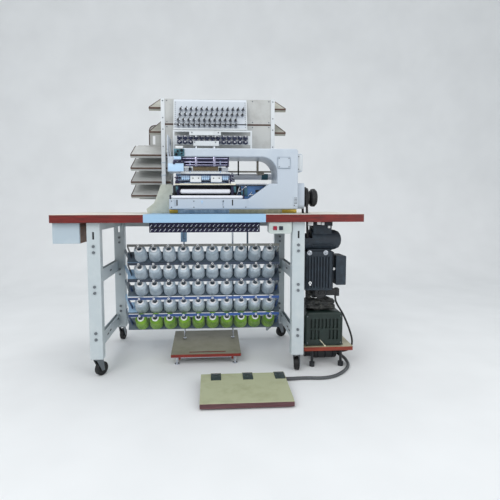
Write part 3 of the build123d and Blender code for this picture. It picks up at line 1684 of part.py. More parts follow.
rod_foot_z = treadle_surface(rod_depth + rod_radius + rod_foot) + rod_lift_gap
rods = []
for x in rod_xs:
    foot = (x, rod_depth, rod_foot_z)
    lift_rod = rod(foot, (x, rod_depth, rod_top_z), rod_radius)
    lift_rod += rod(foot, (x, rod_depth, rod_foot_z + rod_foot_height), rod_radius + rod_foot)
    rods.append(lift_rod)
save("treadle_rods", *rods)

# Foot pedal: a thin base with a riser at the back, and the hinged lid
rear_depth = -pedal_rear
front_depth = -pedal_reach
lid_rear = rear_depth - riser_depth
base = block(
    (pedal_left + base_side_gap, pedal_right - base_side_gap),
    (front_depth + base_front_gap, rear_depth),
    (0, pedal_base_sheet),
)
riser_front = lid_rear + turning_gap + hinge_sink
base += block((pedal_left, pedal_right), (riser_front, rear_depth), (0, pedal_rear_height - hinge_drop))
hose_start = hose_route[0]
hose_seat_start = (pedal_right - hose_seat, hose_start[1], hose_start[2])
base += rod(hose_seat_start, hose_start, hose_radius + hose_seat_wall)
axis_z = pedal_rear_height + hinge_knuckle_radius - hinge_drop
axis_depth = lid_rear + hinge_knuckle_radius + 1
knuckle_third = hinge_width / 3
lid_under = pedal_base_sheet + pedal_play
lid_points = [
    (front_depth, lid_under),
    (front_depth, pedal_front_height),
    (lid_rear, pedal_rear_height),
    (lid_rear, pedal_rear_height - pedal_board),
    (front_depth + lid_skirt, pedal_front_height - pedal_board + 1),
    (front_depth + lid_skirt, lid_under),
]
lid = along_x(lid_points, (pedal_left, pedal_right))
lid_edge = lid.edges().filter_by(Axis.X).sort_by_distance(place(0, front_depth, pedal_front_height))[0]
lid = fillet(lid_edge, lid_round)
leaf_slope = (pedal_rear_height - pedal_front_height) / (lid_rear - front_depth)
for x in pedal_hinge_xs:
    low_x, high_x = x - hinge_width / 2, x + hinge_width / 2
    leaf_front = lid_rear - hinge_leaf_run
    leaf_low_z = pedal_rear_height - hinge_leaf_run * leaf_slope
    leaf_points = [
        (leaf_front, leaf_low_z - hinge_sink),
        (leaf_front, leaf_low_z + hinge_leaf),
        (axis_depth, pedal_rear_height + hinge_leaf),
        (axis_depth, pedal_rear_height - hinge_sink),
        (lid_rear, pedal_rear_height - hinge_sink),
    ]
    lid += along_x(leaf_points, (low_x, high_x))
    for start in (low_x, high_x - knuckle_third):
        knuckle_end = (start + knuckle_third, axis_depth, axis_z)
        lid += rod((start, axis_depth, axis_z), knuckle_end, hinge_knuckle_radius)
    middle_x = (low_x + knuckle_third, high_x - knuckle_third)
    lid -= block(
        (middle_x[0] - turning_gap, middle_x[1] + turning_gap),
        (lid_rear + turning_gap, rear_depth + 2),
        (axis_z - 2 * hinge_knuckle_radius, pedal_rear_height + hinge_knuckle_radius),
    )
    bore = hinge_pin_radius + bore_clearance
    lid -= rod((low_x - 1, axis_depth, axis_z), (high_x + 1, axis_depth, axis_z), bore)
    clear = hinge_knuckle_radius + turning_gap
    base -= rod((low_x - 0.5, axis_depth, axis_z), (high_x + 0.5, axis_depth, axis_z), clear)
    base += rod((middle_x[0], axis_depth, axis_z), (middle_x[1], axis_depth, axis_z), hinge_knuckle_radius)
    base += block(middle_x, (axis_depth, rear_depth), (axis_z - hinge_knuckle_radius - 1, axis_z))
    base += rod((low_x, axis_depth, axis_z), (high_x, axis_depth, axis_z), hinge_pin_radius)
save("pedal_base", base)
save("pedal_lid", lid)


# Cords: straight runs joined by arcs
def cord(name, points, radius):
    path_points = [place(*point) for point in points]
    radii = []
    for before, at, after in zip(path_points, path_points[1:], path_points[2:]):
        turn = (at - before).get_angle(after - at)
        shorter = min((at - before).length, (after - at).length)
        radii.append(0.45 * shorter / tan(radians(turn) / 2))
    print(name, "radii", [round(value) for value in radii], "of diameter", 2 * radius)
    path = FilletPolyline(*path_points, radius=radii)
    start = Plane(origin=path @ 0, z_dir=path % 0)
    tube = sweep(start * Circle(radius), path=path)
    share = tube.volume / (path.length * pi * radius**2)
    print(name, "length", round(path.length), "volume share", round(share, 4))
    save(name, tube)


cord("power_cable", cable_route, cable_radius)
cord("floor_hose", hose_route, hose_radius)
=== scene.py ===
import math
import random
from functools import partial

import bmesh
import bpy
from mathutils import Matrix, Vector


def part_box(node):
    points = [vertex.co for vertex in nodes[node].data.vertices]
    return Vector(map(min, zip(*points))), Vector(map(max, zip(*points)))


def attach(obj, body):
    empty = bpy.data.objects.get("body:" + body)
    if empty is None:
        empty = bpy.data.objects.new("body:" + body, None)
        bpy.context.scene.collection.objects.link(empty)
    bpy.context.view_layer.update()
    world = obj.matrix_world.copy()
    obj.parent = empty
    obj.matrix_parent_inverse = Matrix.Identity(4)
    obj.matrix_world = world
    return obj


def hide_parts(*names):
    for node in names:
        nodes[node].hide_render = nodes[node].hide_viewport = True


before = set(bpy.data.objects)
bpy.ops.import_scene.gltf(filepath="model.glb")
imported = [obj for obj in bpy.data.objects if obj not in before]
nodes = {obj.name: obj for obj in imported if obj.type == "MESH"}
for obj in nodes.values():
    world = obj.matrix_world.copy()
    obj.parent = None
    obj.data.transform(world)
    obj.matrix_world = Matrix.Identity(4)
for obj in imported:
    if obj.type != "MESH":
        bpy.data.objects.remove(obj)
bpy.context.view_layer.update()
mainBody = "table_and_head"
corners = ("front_left", "front_right", "rear_left", "rear_right")
print("frame loaded:", len(nodes), "nodes")

# lengths are in mm unless a note says metres, and depth runs back from the table's front edge
tableFrontY = -162.5
front, up, right = (0, -1, 0), (0, 0, 1), (1, 0, 0)


def fourOf(kind):  # the names of one kind's node at each corner
    return [kind + corner for corner in corners]


def spot(x, depth, z):
    return Vector((x, tableFrontY + depth, z)) / 1000


def shadeOf(hexValue):  # sRGB hex to linear
    parts = [int(hexValue[i:i + 2], 16) / 255 for i in (1, 3, 5)]
    return (*[p / 12.92 if p <= 0.04045 else ((p + 0.055) / 1.055) ** 2.4 for p in parts], 1)


materials, usualSlots, dressed = {}, {}, set()


def newMaterial(name, on=(), slot=None):
    # on: the CAD nodes that keep their shape and get this finish; slot: kept in usualSlots, not used further
    made = bpy.data.materials.new(name)
    made.use_nodes = True
    materials[name], usualSlots[name] = made, slot
    for node in on:
        dressed.add(node)
        for index in range(len(nodes[node].data.materials)):
            nodes[node].data.materials[index] = made
    return partial(addNode, made.node_tree), made.node_tree.nodes["Principled BSDF"]


def setNode(node, settings):
    # each setting is a socket or node to link from, the value of an input or a property of the node
    for key, value in settings.items():
        if isinstance(value, bpy.types.Node):  # its result, which is a colour Mix's third output
            value = value.outputs[2 if value.bl_idname == "ShaderNodeMix" else 0]
        if isinstance(value, bpy.types.NodeSocket):
            node.id_data.links.new(value, node.inputs[key])
        elif isinstance(key, int) or key in node.inputs:
            node.inputs[key].default_value = value
        else:
            setattr(node, key, value)
    return node


def addNode(tree, kind, also=None, **settings):
    # also holds the settings whose names are numbers or have a space
    return setNode(tree.nodes.new("ShaderNode" + kind), settings | (also or {}))


def setRamp(node, stops):  # stops of (position, sRGB hex or grey)
    elements = node.color_ramp.elements
    while len(elements) < len(stops):
        elements.new(0.5)
    for element, (position, colour) in zip(elements, stops):
        element.position = position
        element.color = shadeOf(colour) if isinstance(colour, str) else (colour, colour, colour, 1)
    return node


def surface(name, colour, worn, wornSize, rough, bump, wornAmount=0.35, grainSize=3, metallic=0.0,
            stretch=(1, 1, 1), **use):
    # A painted, moulded or metal finish: patches of a second colour about wornSize across, a grain that is
    # bump deep, and a roughness that follows the patches. stretch pulls the grain along an axis.
    add, shader = newMaterial(name, **use)
    place = add("TexCoord").outputs["Object"]
    pulled = add("Mapping", Scale=stretch, Vector=place)
    patches = add("TexNoise", Scale=1000 / wornSize, Detail=5, Roughness=0.62, Vector=pulled)
    patchRamp = setRamp(add("ValToRGB", Fac=patches),
                        [(0.62 - 0.3 * wornAmount, 0.0), (0.78, min(1.0, 0.35 + wornAmount))])
    tint = add("Mix", data_type="RGBA", also={0: patchRamp, 6: shadeOf(colour), 7: shadeOf(worn)})
    grain = add("TexNoise", Scale=1000 / grainSize, Detail=3, Roughness=0.55, Vector=pulled)
    relief = add("Bump", Strength=0.25, Distance=bump / 1000, Height=grain)
    gloss = add("MapRange", also={"To Min": rough - 0.08, "To Max": rough + 0.08}, Value=patches)
    setNode(shader, {"Base Color": tint, "Normal": relief, "Roughness": gloss, "Metallic": metallic})
    return add, shader, tint, place


# Finishes: colour, worn colour, size of the worn patches in mm, roughness and depth of the grain in mm.
# Stoved enamels and brushed paints have a soft gloss, paler or smudged where hands and cloth rub
surface("traySheetEnamel", "#9ABEDB", "#AFCCE2", 160, 0.38, 0.08, on=["centre_tray"])
surface("legEnamel", "#BBC5C9", "#CCD2D3", 90, 0.42, 0.1, on=[*fourOf("leg_"), "leg_braces"])
surface("headHammerEnamel", "#BAC4CF", "#C9D2DA", 200, 0.34, 0.25, grainSize=4,
        on=["head_casting", "head_covers"])  # hammer finish: fine dimples
surface("bankGreyEnamel", "#C3CAD2", "#D3D7DC", 70, 0.4, 0.06, on=["tension_panel"])
surface("postWhiteEnamel", "#D4D9DC", "#C0C5C8", 60, 0.35, 0.05,
        on=["rack_posts", "thread_guide_frame"], slot="white_paint")
# the creel boards' slate grey is painted shade between the rows of cones
surface("creelShadeSlate", "#5B6A77", "#73828E", 80, 0.45, 0.08, on=["creel_frames"])
surface("motorSlateEnamel", "#1D2833", "#31424F", 35, 0.6, 0.3, wornAmount=0.5, grainSize=2.5,
        on=["main_motor", "finned_housing", "control_box"])  # dusty, on cast ribs
surface("blowerGreenEnamel", "#0F221D", "#1E3631", 40, 0.45, 0.2, on=["blower_motor"], slot="blower_paint")
surface("drawerGreyPaint", "#AEBDC7", "#C2CDD4", 80, 0.45, 0.1, on=["drawer"], slot="white_paint")
surface("rackBoardPaint", "#BBBDBB", "#A09F9C", 70, 0.55, 0.15, wornAmount=0.5,
        on=["lower_shelves", "rack_panels"])  # matt, smudged by hands
surface("shelfBoardPaint", "#A2A298", "#86847A", 50, 0.6, 0.15, wornAmount=0.6, on=["upper_shelves"])
# Metals: sharp highlights on ground bars, a violet or blue cast and oil on blued ones, dull grey on zinc
surface("gunBlueSteel", "#34334A", "#5A5872", 25, 0.36, 0.05, metallic=0.85,
        on=["looper_tension_bank", "roller_brackets", "needle_bar_guides", "motor_pulley"], slot="dark_steel")
surface("groundSteel", "#C9CED6", "#A7ADB8", 14, 0.22, 0.03, metallic=1.0,
        on=["cloth_plate", "needle_bar", "treadle_stand", "treadle_rods"], slot="bright_steel")
surface("bluedPresserSteel", "#8FA4C0", "#C9D4E0", 9, 0.28, 0.03, wornAmount=0.5, metallic=0.75,
        on=["presser_foot"], slot="bright_steel")
surface("zincPlate", "#777D82", "#8E9396", 12, 0.42, 0.05, metallic=0.9,
        on=[*fourOf("caster_fork_"), "leg_bolts"], slot="zinc_bolts")
surface("blackOxide", "#1B1D22", "#3A3D45", 9, 0.36, 0.04, metallic=0.6, slot="dark_steel")
surface("blackCasting", "#1D1F22", "#34373B", 22, 0.48, 0.3, grainSize=2,
        on=["handwheel", "air_tank"], slot="black_cast")  # sand-cast and painted: pitted
# Rubber, plastics, wood and coated cloth
surface("rollerSleeve", "#E4E6EC", "#D6D9E1", 40, 0.5, 0.05,
        on=["feed_roller", "takeup_roller", "rear_puller"])  # white nylon, matt
surface("tyreRubber", "#161718", "#26282A", 18, 0.62, 0.1, on=fourOf("caster_wheel_"))  # moulded, dusty
surface("beltRubber", "#1A1B1D", "#2C2D30", 15, 0.7, 0.1, on=["drive_belt"])
surface("creamMoulding", "#BFC9C6", "#B0BAB7", 30, 0.42, 0.06, on=["switch_box"])  # aged ABS
surface("redKeyPlastic", "#94122F", "#7C1029", 9, 0.28, 0.02, on=["start_button"])
surface("darkKeyPlastic", "#232B36", "#313B47", 9, 0.3, 0.02, on=["stop_button"])
surface("cordSheath", "#15171A", "#24272B", 20, 0.5, 0.05, on=["power_cable"])  # soft PVC
surface("hoseSheath", "#4C4F52", "#63676A", 30, 0.55, 0.08, on=["floor_hose"])
surface("oiledWalnut", "#7A4C2C", "#5D3820", 22, 0.5, 0.15, wornAmount=0.7, stretch=(1, 0.15, 1),
        on=["drawer_case", "pedal_base"])  # long grain
surface("coatedDuctCloth", "#1D1F1F", "#55554F", 22, 0.6, 0.6, wornAmount=0.5, grainSize=4,
        on=["motor_duct"])  # near black with pale grey patches at random


def boardMaterial(name, top, edge, under, wornSize=110, wornAmount=0.5, steelBelow=-1.0, on=()):
    # laminate on the top, a lipping round the edges and bare board below, told apart by the face's
    # direction; what lies under the height steelBelow, in metres, is the dark steel of the feet
    add, shader, worn, place = surface(name, "#FFFFFF", "#E4E2DA", wornSize, 0.4, 0.05, wornAmount, on=on)
    normal = add("NewGeometry").outputs["True Normal"]
    facing = add("SeparateXYZ", Vector=normal).outputs["Z"]
    isTop = add("Math", operation="GREATER_THAN", also={0: facing, 1: 0.6})
    isUnder = add("Math", operation="LESS_THAN", also={0: facing, 1: -0.6})
    lengthwise = add("Mapping", Scale=(0.08, 1, 1), Vector=place)
    grain = add("TexNoise", Scale=160, Detail=4, Roughness=0.6, Vector=lengthwise)
    edgeRamp = setRamp(add("ValToRGB", Fac=grain), [(0.35, edge[0]), (0.68, edge[1])])
    laminate = add("Mix", data_type="RGBA", blend_type="MULTIPLY", also={0: 1.0, 6: worn, 7: shadeOf(top)})
    withTop = add("Mix", data_type="RGBA", also={0: isTop, 6: edgeRamp, 7: laminate})
    board = add("Mix", data_type="RGBA", also={0: isUnder, 6: withTop, 7: shadeOf(under)})
    height = add("SeparateXYZ", Vector=place).outputs["Z"]
    isFoot = add("Math", operation="LESS_THAN", also={0: height, 1: steelBelow})
    whole = add("Mix", data_type="RGBA", also={0: isFoot, 6: board, 7: shadeOf("#24272B")})
    setNode(shader, {"Base Color": whole})


boardMaterial("tableLaminate", "#D8D5CB", ("#560D09", "#7C1A14"), "#6B4A33",
        on=["table_left_wing", "table_right_wing"])
boardMaterial("treadleLaminate", "#7E7B69", ("#6A1C15", "#932E22"), "#3A2A22", wornSize=60, wornAmount=0.6,
        on=["treadle"])
boardMaterial("pedalLaminate", "#AEB292", ("#4C2E32", "#6B4448"), "#3B2A27", wornSize=70, on=["pedal_lid"])
boardMaterial("platformLaminate", "#B9B396", ("#6E2413", "#9A3A20"), "#4A3328", wornSize=50, steelBelow=0.0915,
        on=["motor_platform"])


def railMaterial():
    # enamel that is grey-beige on the top rail, dark on the next two and blue on the lowest two,
    # and darker towards the left end; the heights and widths are in metres
    add, shader, worn, place = surface("railEnamel", "#FFFFFF", "#C9CDD2", 30, 0.4, 0.06, on=["eyelet_rails"])
    split = add("SeparateXYZ", Vector=place)
    height = add("MapRange", also={"From Min": 0.2, "From Max": 0.68}, Value=split.outputs["Z"])
    rowRamp = setRamp(add("ValToRGB", Fac=height), [(0.0, "#33589C"), (0.42, "#39465A"), (0.8, "#8B8B86")])
    rowRamp.color_ramp.interpolation = "CONSTANT"
    side = add("MapRange", also={"From Min": -0.4, "From Max": 0.15, "To Min": 0.45}, Value=split.outputs["X"])
    shaded = add("Mix", data_type="RGBA", also={0: side, 6: shadeOf("#20242C"), 7: rowRamp})
    final = add("Mix", data_type="RGBA", blend_type="MULTIPLY", also={0: 1.0, 6: shaded, 7: worn})
    setNode(shader, {"Base Color": final})


railMaterial()


paleEnds = {"colour": "#A3C6E4", "middles": (0.485, 0.3), "halfHeight": 0.045, "rightEnd": -0.38}


def paleCreelEnds():
    # the boards are slate grey, painted shade between the rows of cones; the left ends of the second and fourth
    # boards show their own pale blue enamel; lengths in metres
    tree = materials["creelShadeSlate"].node_tree
    add, shader = partial(addNode, tree), tree.nodes["Principled BSDF"]
    worn = shader.inputs["Base Color"].links[0].from_socket
    split = add("SeparateXYZ", Vector=add("TexCoord").outputs["Object"])
    atLeft = add("Math", operation="LESS_THAN", also={0: split.outputs["X"], 1: paleEnds["rightEnd"]})
    upper, lower = [add("Math", operation="COMPARE",
                        also={0: split.outputs["Z"], 1: middle, 2: paleEnds["halfHeight"]})
                    for middle in paleEnds["middles"]]
    either = add("Math", operation="MAXIMUM", also={0: upper, 1: lower})
    both = add("Math", operation="MULTIPLY", also={0: either, 1: atLeft})
    final = add("Mix", data_type="RGBA", also={0: both, 6: worn, 7: shadeOf(paleEnds["colour"])})
    setNode(shader, {"Base Color": final})


paleCreelEnds()


def threadMaterial(name, pale, deep, on):
    # cross-wound sewing thread: two sets of strands that cross, drawn 2.5 mm apart so that they show
    add, shader = newMaterial(name, on)
    coords = add("TexCoord")
    windings = []
    for lean in (0.35, -0.35):
        turned = add("Mapping", Rotation=(0, 0, lean), Vector=coords.outputs["UV"])
        windings.append(add("TexWave", bands_direction="Y", Scale=11, Distortion=0.8, Detail=2,
                            also={"Detail Scale": 1.5}, Vector=turned).outputs["Fac"])
    wound = add("Math", operation="MAXIMUM", also=dict(enumerate(windings)))
    tone = add("TexNoise", Scale=18, Detail=3, Vector=coords.outputs["Object"])
    toneRamp = setRamp(add("ValToRGB", Fac=tone), [(0.35, deep), (0.62, pale)])
    # the colour is darker between the strands: painted shade
    shadow = add("MapRange", also={"To Min": 0.72}, Value=wound)
    final = add("Mix", data_type="RGBA", blend_type="MULTIPLY", also={0: 1.0, 6: toneRamp, 7: shadow})
    relief = add("Bump", Strength=0.5, Distance=0.0006, Height=wound)
    setNode(shader, {"Base Color": final, "Normal": relief, "Roughness": 0.72, "Sheen Weight": 0.25})


threadMaterial("paleThread", "#CFDCE6", "#AEBFCC", on=["grey_cones"])
threadMaterial("greenThread", "#84B52C", "#5A8A1C", on=["green_cones"])
print("materials:", len(materials), "CAD nodes dressed:", len(dressed))


# Cords: each follows the route that its solid has
def makeCord(name, material, cadNode, route, radius, **facts):
    curve = bpy.data.curves.new(name, "CURVE")
    curve.dimensions = "3D"
    curve.bevel_depth = radius / 1000
    curve.bevel_resolution = 5
    curve.resolution_u = 16
    curve.use_fill_caps = True
    spline = curve.splines.new("NURBS")
    spline.points.add(len(route) - 1)
    for point, place in zip(spline.points, route):
        point.co = (*spot(*place), 1)
    spline.order_u = 3
    spline.use_endpoint_u = True
    piece = bpy.data.objects.new(name, curve)
    bpy.context.scene.collection.objects.link(piece)
    curve.materials.append(materials[material])
    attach(piece, mainBody)
    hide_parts(cadNode)


cable = dict(radius=5, length=0.361, stiffness="limp", lay="hanging", route=[
    (656, 150, 366), (656, 150, 338), (671, 146, 306), (696, 140, 266), (713, 134, 226), (727, 128, 188),
    (739, 124, 150), (745, 124, 112), (737, 130, 82), (716, 141, 64), (690, 152, 58),
])
hose = dict(radius=8, length=0.518, stiffness="limp", lay="loose", route=[
    (357, -66, 10), (392, -66, 10), (430, -59, 8.3), (474, -60, 8.3), (522, -67, 8.3), (572, -60, 8.3),
    (618, -36, 8.3), (658, 2, 8.3), (692, 44, 8.3), (712, 84, 9), (717, 120, 14), (710, 150, 25), (694, 172, 34),
])
makeCord("powerCable", "cordSheath", "power_cable", **cable)
makeCord("floorHose", "hoseSheath", "floor_hose", **hose)
print("cords made")


def placePiece(name, bm, material, body=mainBody, smoothAngle=35, replaced=()):
    # turns a bmesh in metres into a finished piece that rides on its body
    mesh = bpy.data.meshes.new(name)
    bm.to_mesh(mesh)
    bm.free()
    for polygon in mesh.polygons:
        polygon.use_smooth = True
    mesh.set_sharp_from_angle(angle=math.radians(smoothAngle))
    mesh.materials.append(materials[material])
    piece = bpy.data.objects.new(name, mesh)
    bpy.context.scene.collection.objects.link(piece)
    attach(piece, body)
    if replaced:
        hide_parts(*replaced)


def turnTo(direction):  # the turn that brings Z to a direction
    return Vector(direction).to_track_quat("Z", "Y").to_matrix().to_4x4()


def edgesOf(verts):
    return {edge for vert in verts for edge in vert.link_edges}


def facesOf(verts):
    return {face for vert in verts for face in vert.link_faces}


def roundEdges(bm, edges, width):
    bmesh.ops.bevel(bm, geom=list(edges), offset=width / 1000, offset_type="OFFSET", segments=2, profile=0.5,
                    affect="EDGES", material=-1)


def spinProfile(bm, profile, steps, closed=False):
    # profile of (radius, height), turned about Z; returns the new vertices
    before = set(bm.verts)
    verts = [bm.verts.new((r / 1000, 0, h / 1000)) for r, h in profile]
    pairs = list(zip(verts, verts[1:])) + ([(verts[-1], verts[0])] if closed else [])
    edges = [bm.edges.new(pair) for pair in pairs]
    bmesh.ops.spin(bm, geom=verts + edges, cent=(0, 0, 0), axis=up, angle=2 * math.pi, steps=steps, use_merge=True)
    bmesh.ops.remove_doubles(bm, verts=[v for v in bm.verts if v not in before], dist=1e-6)
    made = [v for v in bm.verts if v not in before]
    bmesh.ops.recalc_face_normals(bm, faces=list(facesOf(made)))
    return made


def addTurned(bm, profile, start, direction, steps=24, closed=False):
    # profile turned about Z, then set at start with its axis along direction
    made = spinProfile(bm, profile, steps, closed)
    bmesh.ops.transform(bm, matrix=Matrix.Translation(spot(*start)) @ turnTo(direction), verts=made)


def addBlock(bm, left, right, near, far, bottom, top, bevel=0.0):
    low, high = spot(left, near, bottom), spot(right, far, top)
    stretch = Matrix.Diagonal((*(high - low), 1))
    made = bmesh.ops.create_cube(bm, size=1.0, matrix=Matrix.Translation((low + high) / 2) @ stretch)["verts"]
    if bevel:
        roundEdges(bm, edgesOf(made), bevel)


def addRod(bm, start, end, radius, sides=16, bevel=None):
    low, high = spot(*start), spot(*end)
    made = bmesh.ops.create_cone(bm, cap_ends=True, segments=sides, radius1=radius / 1000, radius2=radius / 1000,
                                 depth=(high - low).length,
                                 matrix=Matrix.Translation((low + high) / 2) @ turnTo(high - low))["verts"]
    rims = [e for e in edgesOf(made) if any(len(f.verts) > 4 for f in e.link_faces)]
    if bevel != 0:
        roundEdges(bm, rims, bevel or min(0.8, radius / 4))


def addPrism(bm, outline, along, span, bevel=0.0):
    # a closed outline pushed along an axis: points are (depth, z) along "x", or (x, z) along "depth"
    def corner(point, reach):
        return spot(reach, *point) if along == "x" else spot(point[0], reach, point[1])

    end = bm.faces.new([bm.verts.new(corner(point, span[0])) for point in outline])
    pushed = bmesh.ops.extrude_face_region(bm, geom=[end], use_keep_orig=True)["geom"]
    moved = [v for v in pushed if isinstance(v, bmesh.types.BMVert)]
    bmesh.ops.translate(bm, verts=moved, vec=corner(outline[0], span[1]) - corner(outline[0], span[0]))
    faces = facesOf(moved) | {end}
    bmesh.ops.recalc_face_normals(bm, faces=list(faces))
    if bevel:
        roundEdges(bm, {edge for face in faces for edge in face.edges}, bevel)


def addTube(bm, points, radius, sides=10):
    # a round bar bent through the points, closed at both ends
    places = [spot(*point) for point in points]
    runs = [(places[min(i + 1, len(places) - 1)] - places[max(i - 1, 0)]).normalized() for i in range(len(places))]
    ring = bmesh.ops.create_circle(bm, cap_ends=True, segments=sides, radius=radius / 1000,
                                   matrix=Matrix.Translation(places[0]) @ turnTo(runs[0]))["verts"]
    made = set(ring)
    rim = [e for e in edgesOf(ring) if len(e.link_faces) == 1]
    for index in range(1, len(places)):
        pushed = bmesh.ops.extrude_edge_only(bm, edges=rim)["geom"]
        ring = [g for g in pushed if isinstance(g, bmesh.types.BMVert)]
        swing = runs[index - 1].rotation_difference(runs[index]).to_matrix().to_4x4()
        bmesh.ops.transform(bm, verts=ring, matrix=Matrix.Translation(places[index]) @ swing
                            @ Matrix.Translation(-places[index - 1]))
        made.update(ring)
        rim = [e for e in edgesOf(ring) if all(v in ring for v in e.verts)]
    bmesh.ops.contextual_create(bm, geom=rim)
    bmesh.ops.recalc_face_normals(bm, faces=list(facesOf(made)))


def addScrew(bm, place, toward, radius, height):
    # a low domed head with a round socket, standing on place
    addTurned(bm, [(0, 0), (radius, 0), (radius, height * 0.45), (radius * 0.78, height * 0.85),
                   (radius * 0.5, height), (radius * 0.46, height * 0.5), (0, height * 0.5)], place, toward, 12)


def addCopies(bm, master, matrices):
    # the same small mesh again at each matrix
    for matrix in matrices:
        mesh = bpy.data.meshes.new("stamp")
        master.to_mesh(mesh)
        mesh.transform(matrix)
        bm.from_mesh(mesh)
        bpy.data.meshes.remove(mesh)


def makePieces(pieces):
    # Each piece's dictionary: its finish, slot (not used), body and bevel, and the shapes that it is made of:
    # blocks (left, right, near, far, bottom, top and at times a bevel), rods (start, end, radius), prisms
    # (outline, along, span), bent tubes (points, radius), turned (profile, place, direction, steps, closed) and
    # screws (place, toward, radius, height)
    for name, facts in pieces.items():
        bm = bmesh.new()
        bevel = facts.get("bevel", 0.6)
        for block in facts.get("blocks", ()):
            addBlock(bm, *block[:6], *(block[6:] or [bevel]))
        for rod in facts.get("rods", ()):
            addRod(bm, *rod)
        for outline, along, span in facts.get("prisms", ()):
            addPrism(bm, outline, along, span, min(bevel, 0.6))
        for points, radius in facts.get("tubes", ()):
            addTube(bm, points, radius)
        for turned in facts.get("turned", ()):
            addTurned(bm, *turned)
        for screw in facts.get("screws", ()):
            addScrew(bm, *screw)
        placePiece(name, bm, facts["finish"], facts.get("body", mainBody))


def screwRow(places, depth, radius, height):
    # screws that face the operator, one at each (x, z)
    return [((x, depth, z), front, radius, height) for x, z in places]


def ringProfile(ring, wire, points=8, height=0.0):
    turns = [2 * math.pi * i / points for i in range(points)]
    return [(ring + wire * math.cos(a), height + wire * math.sin(a)) for a in turns]


# Thread cones: a wound body with soft shoulders on a white paper cone
cone = {
    "length": 88, "baseRadius": 38, "noseRadius": 31, "boreRadius": 13, "steps": 30,
    "firstX": -374, "pitch": 76.7, "count": 10, "railHeights": (630, 533, 445, 350, 260),
    "tilt": math.radians(35), "noseDepth": 225, "noseDrop": 22, "slimmest": 0.94,
}
surface("paperCone", "#F3F4F6", "#E3E5E8", 12, 0.35, 0.02)  # smooth white card


def coneBody():
    bm = bmesh.new()
    base, nose, bore, top = cone["baseRadius"], cone["noseRadius"], cone["boreRadius"], cone["length"]
    spinProfile(bm, [
        (bore, 1), (base - 9, 0), (base - 3, 2), (base - 0.5, 6), (base, 12), (base - 2.5, 30), (base - 4.4, 54),
        (nose + 1.4, top - 14), (nose, top - 8), (nose - 2.5, top - 3.5), (nose - 7, top - 1), (bore, top - 2),
    ], cone["steps"], closed=True)
    layer = bm.loops.layers.uv.new("wound")
    for face in bm.faces:
        middle = face.calc_center_median()
        middleTurn = math.atan2(middle.y, middle.x)
        for loop in face.loops:
            turn = math.atan2(loop.vert.co.y, loop.vert.co.x)
            turn += 2 * math.pi * round((middleTurn - turn) / (2 * math.pi))
            loop[layer].uv = (turn / math.pi, loop.vert.co.z * 1000 / top)
    return bm


def coneCollar():
    bm = bmesh.new()
    bore, top = cone["boreRadius"], cone["length"]
    spinProfile(bm, [(bore - 0.6, top - 12), (bore - 0.6, top + 5), (bore + 1, top + 6.5), (bore + 3.2, top + 5),
                     (bore + 6.4, top - 0.8), (bore + 4, top - 4)], cone["steps"], closed=True)
    return bm


def coneMatrices(railHeight):
    # each cone turned at random about its own axis and a little slimmer at random
    back, rise = cone["length"] * math.cos(cone["tilt"]), cone["length"] * math.sin(cone["tilt"])
    return [
        Matrix.Translation(spot(cone["firstX"] + cone["pitch"] * number, cone["noseDepth"] + back,
                                railHeight - cone["noseDrop"] - rise))
        @ turnTo((0, -back, rise)) @ Matrix.Rotation(random.uniform(0, 2 * math.pi), 4, "Z")
        @ Matrix.Diagonal((random.uniform(cone["slimmest"], 1.0),) * 2 + (1, 1))
        for number in range(cone["count"])
    ]


random.seed(50)
body, collar = coneBody(), coneCollar()
paleBodies, greenBodies, collars = bmesh.new(), bmesh.new(), bmesh.new()
for railHeight in cone["railHeights"]:
    lowest = railHeight == min(cone["railHeights"])
    places = coneMatrices(railHeight)
    addCopies(greenBodies if lowest else paleBodies, body, places)
    addCopies(collars, collar, places)
body.free()
collar.free()
placePiece("paleThreadBodies", paleBodies, "paleThread", replaced=("grey_cones",))
placePiece("greenThreadBodies", greenBodies, "greenThread", replaced=("green_cones",))
placePiece("paperCones", collars, "paperCone")
print("thread cones made")

# Eyelets on the creel's rails, one in front of each cone
surface("whiteCeramic", "#F6F7F8", "#E6E8EA", 8, 0.15, 0.01)  # glazed: small sharp highlights
eyelet = {"ring": 4.4, "wire": 1.5, "depth": 186, "steps": 14}
makePieces({
    "railEyelets": dict(finish="whiteCeramic", slot="rail_paint", turned=[
        (ringProfile(eyelet["ring"], eyelet["wire"]),
         (cone["firstX"] + cone["pitch"] * number, eyelet["depth"], z), front, eyelet["steps"], True)
        for z in cone["railHeights"] for number in range(cone["count"])]),
})
print("eyelets made")

# Upper tension bank: the fine parts of the fifty tension units, which stand on a leaning plate
tension = {
    "lowDepth": 238, "highDepth": 272, "lowZ": 1230, "highZ": 1384, "pitch": 27.2,
    "rows": ((1335, 13, -150), (1306, 13, -154), (1277, 12, -163), (1250, 12, -163)),
    "discs": ([(4, 3.2), (9.2, 3.0), (10, 3.8), (7.2, 5.2), (4, 5.6)],
              [(4, 10.4), (8.4, 11.0), (9.2, 10.2), (6.4, 9.0), (4, 8.8)]),
    "knob": [(0, 22), (4.6, 22), (5.8, 21), (5.8, 16.6), (5, 15.6), (0, 15.6)],
    "coils": ((11.6, 6.2), (12.9, 5.6), (14.2, 5.0)), "coilWire": 0.55,
    "hook": [(0.0, 4.5, 8.0), (0.8, 8.0, 12.5), (2.6, 11.5, 14.5), (4.2, 14.5, 13.5), (4.6, 15.5, 11.0)],
    "hookRadius": 1.7,
}
bankDepth, bankHeight = tension["highDepth"] - tension["lowDepth"], tension["highZ"] - tension["lowZ"]
outward = Vector((0, -bankHeight, bankDepth)).normalized()


def onBank(x, z, out=0.0):
    return (x, tension["lowDepth"] + (z - tension["lowZ"]) * bankDepth / bankHeight - out, z)


def bankStrip(x, z, out):
    low, high = onBank(0, z[0]), onBank(0, z[1])
    outline = [(low[1] + 0.4, low[2]), (low[1] - out, low[2]), (high[1] - out, high[2]), (high[1] + 0.4, high[2])]
    return (outline, "x", x)


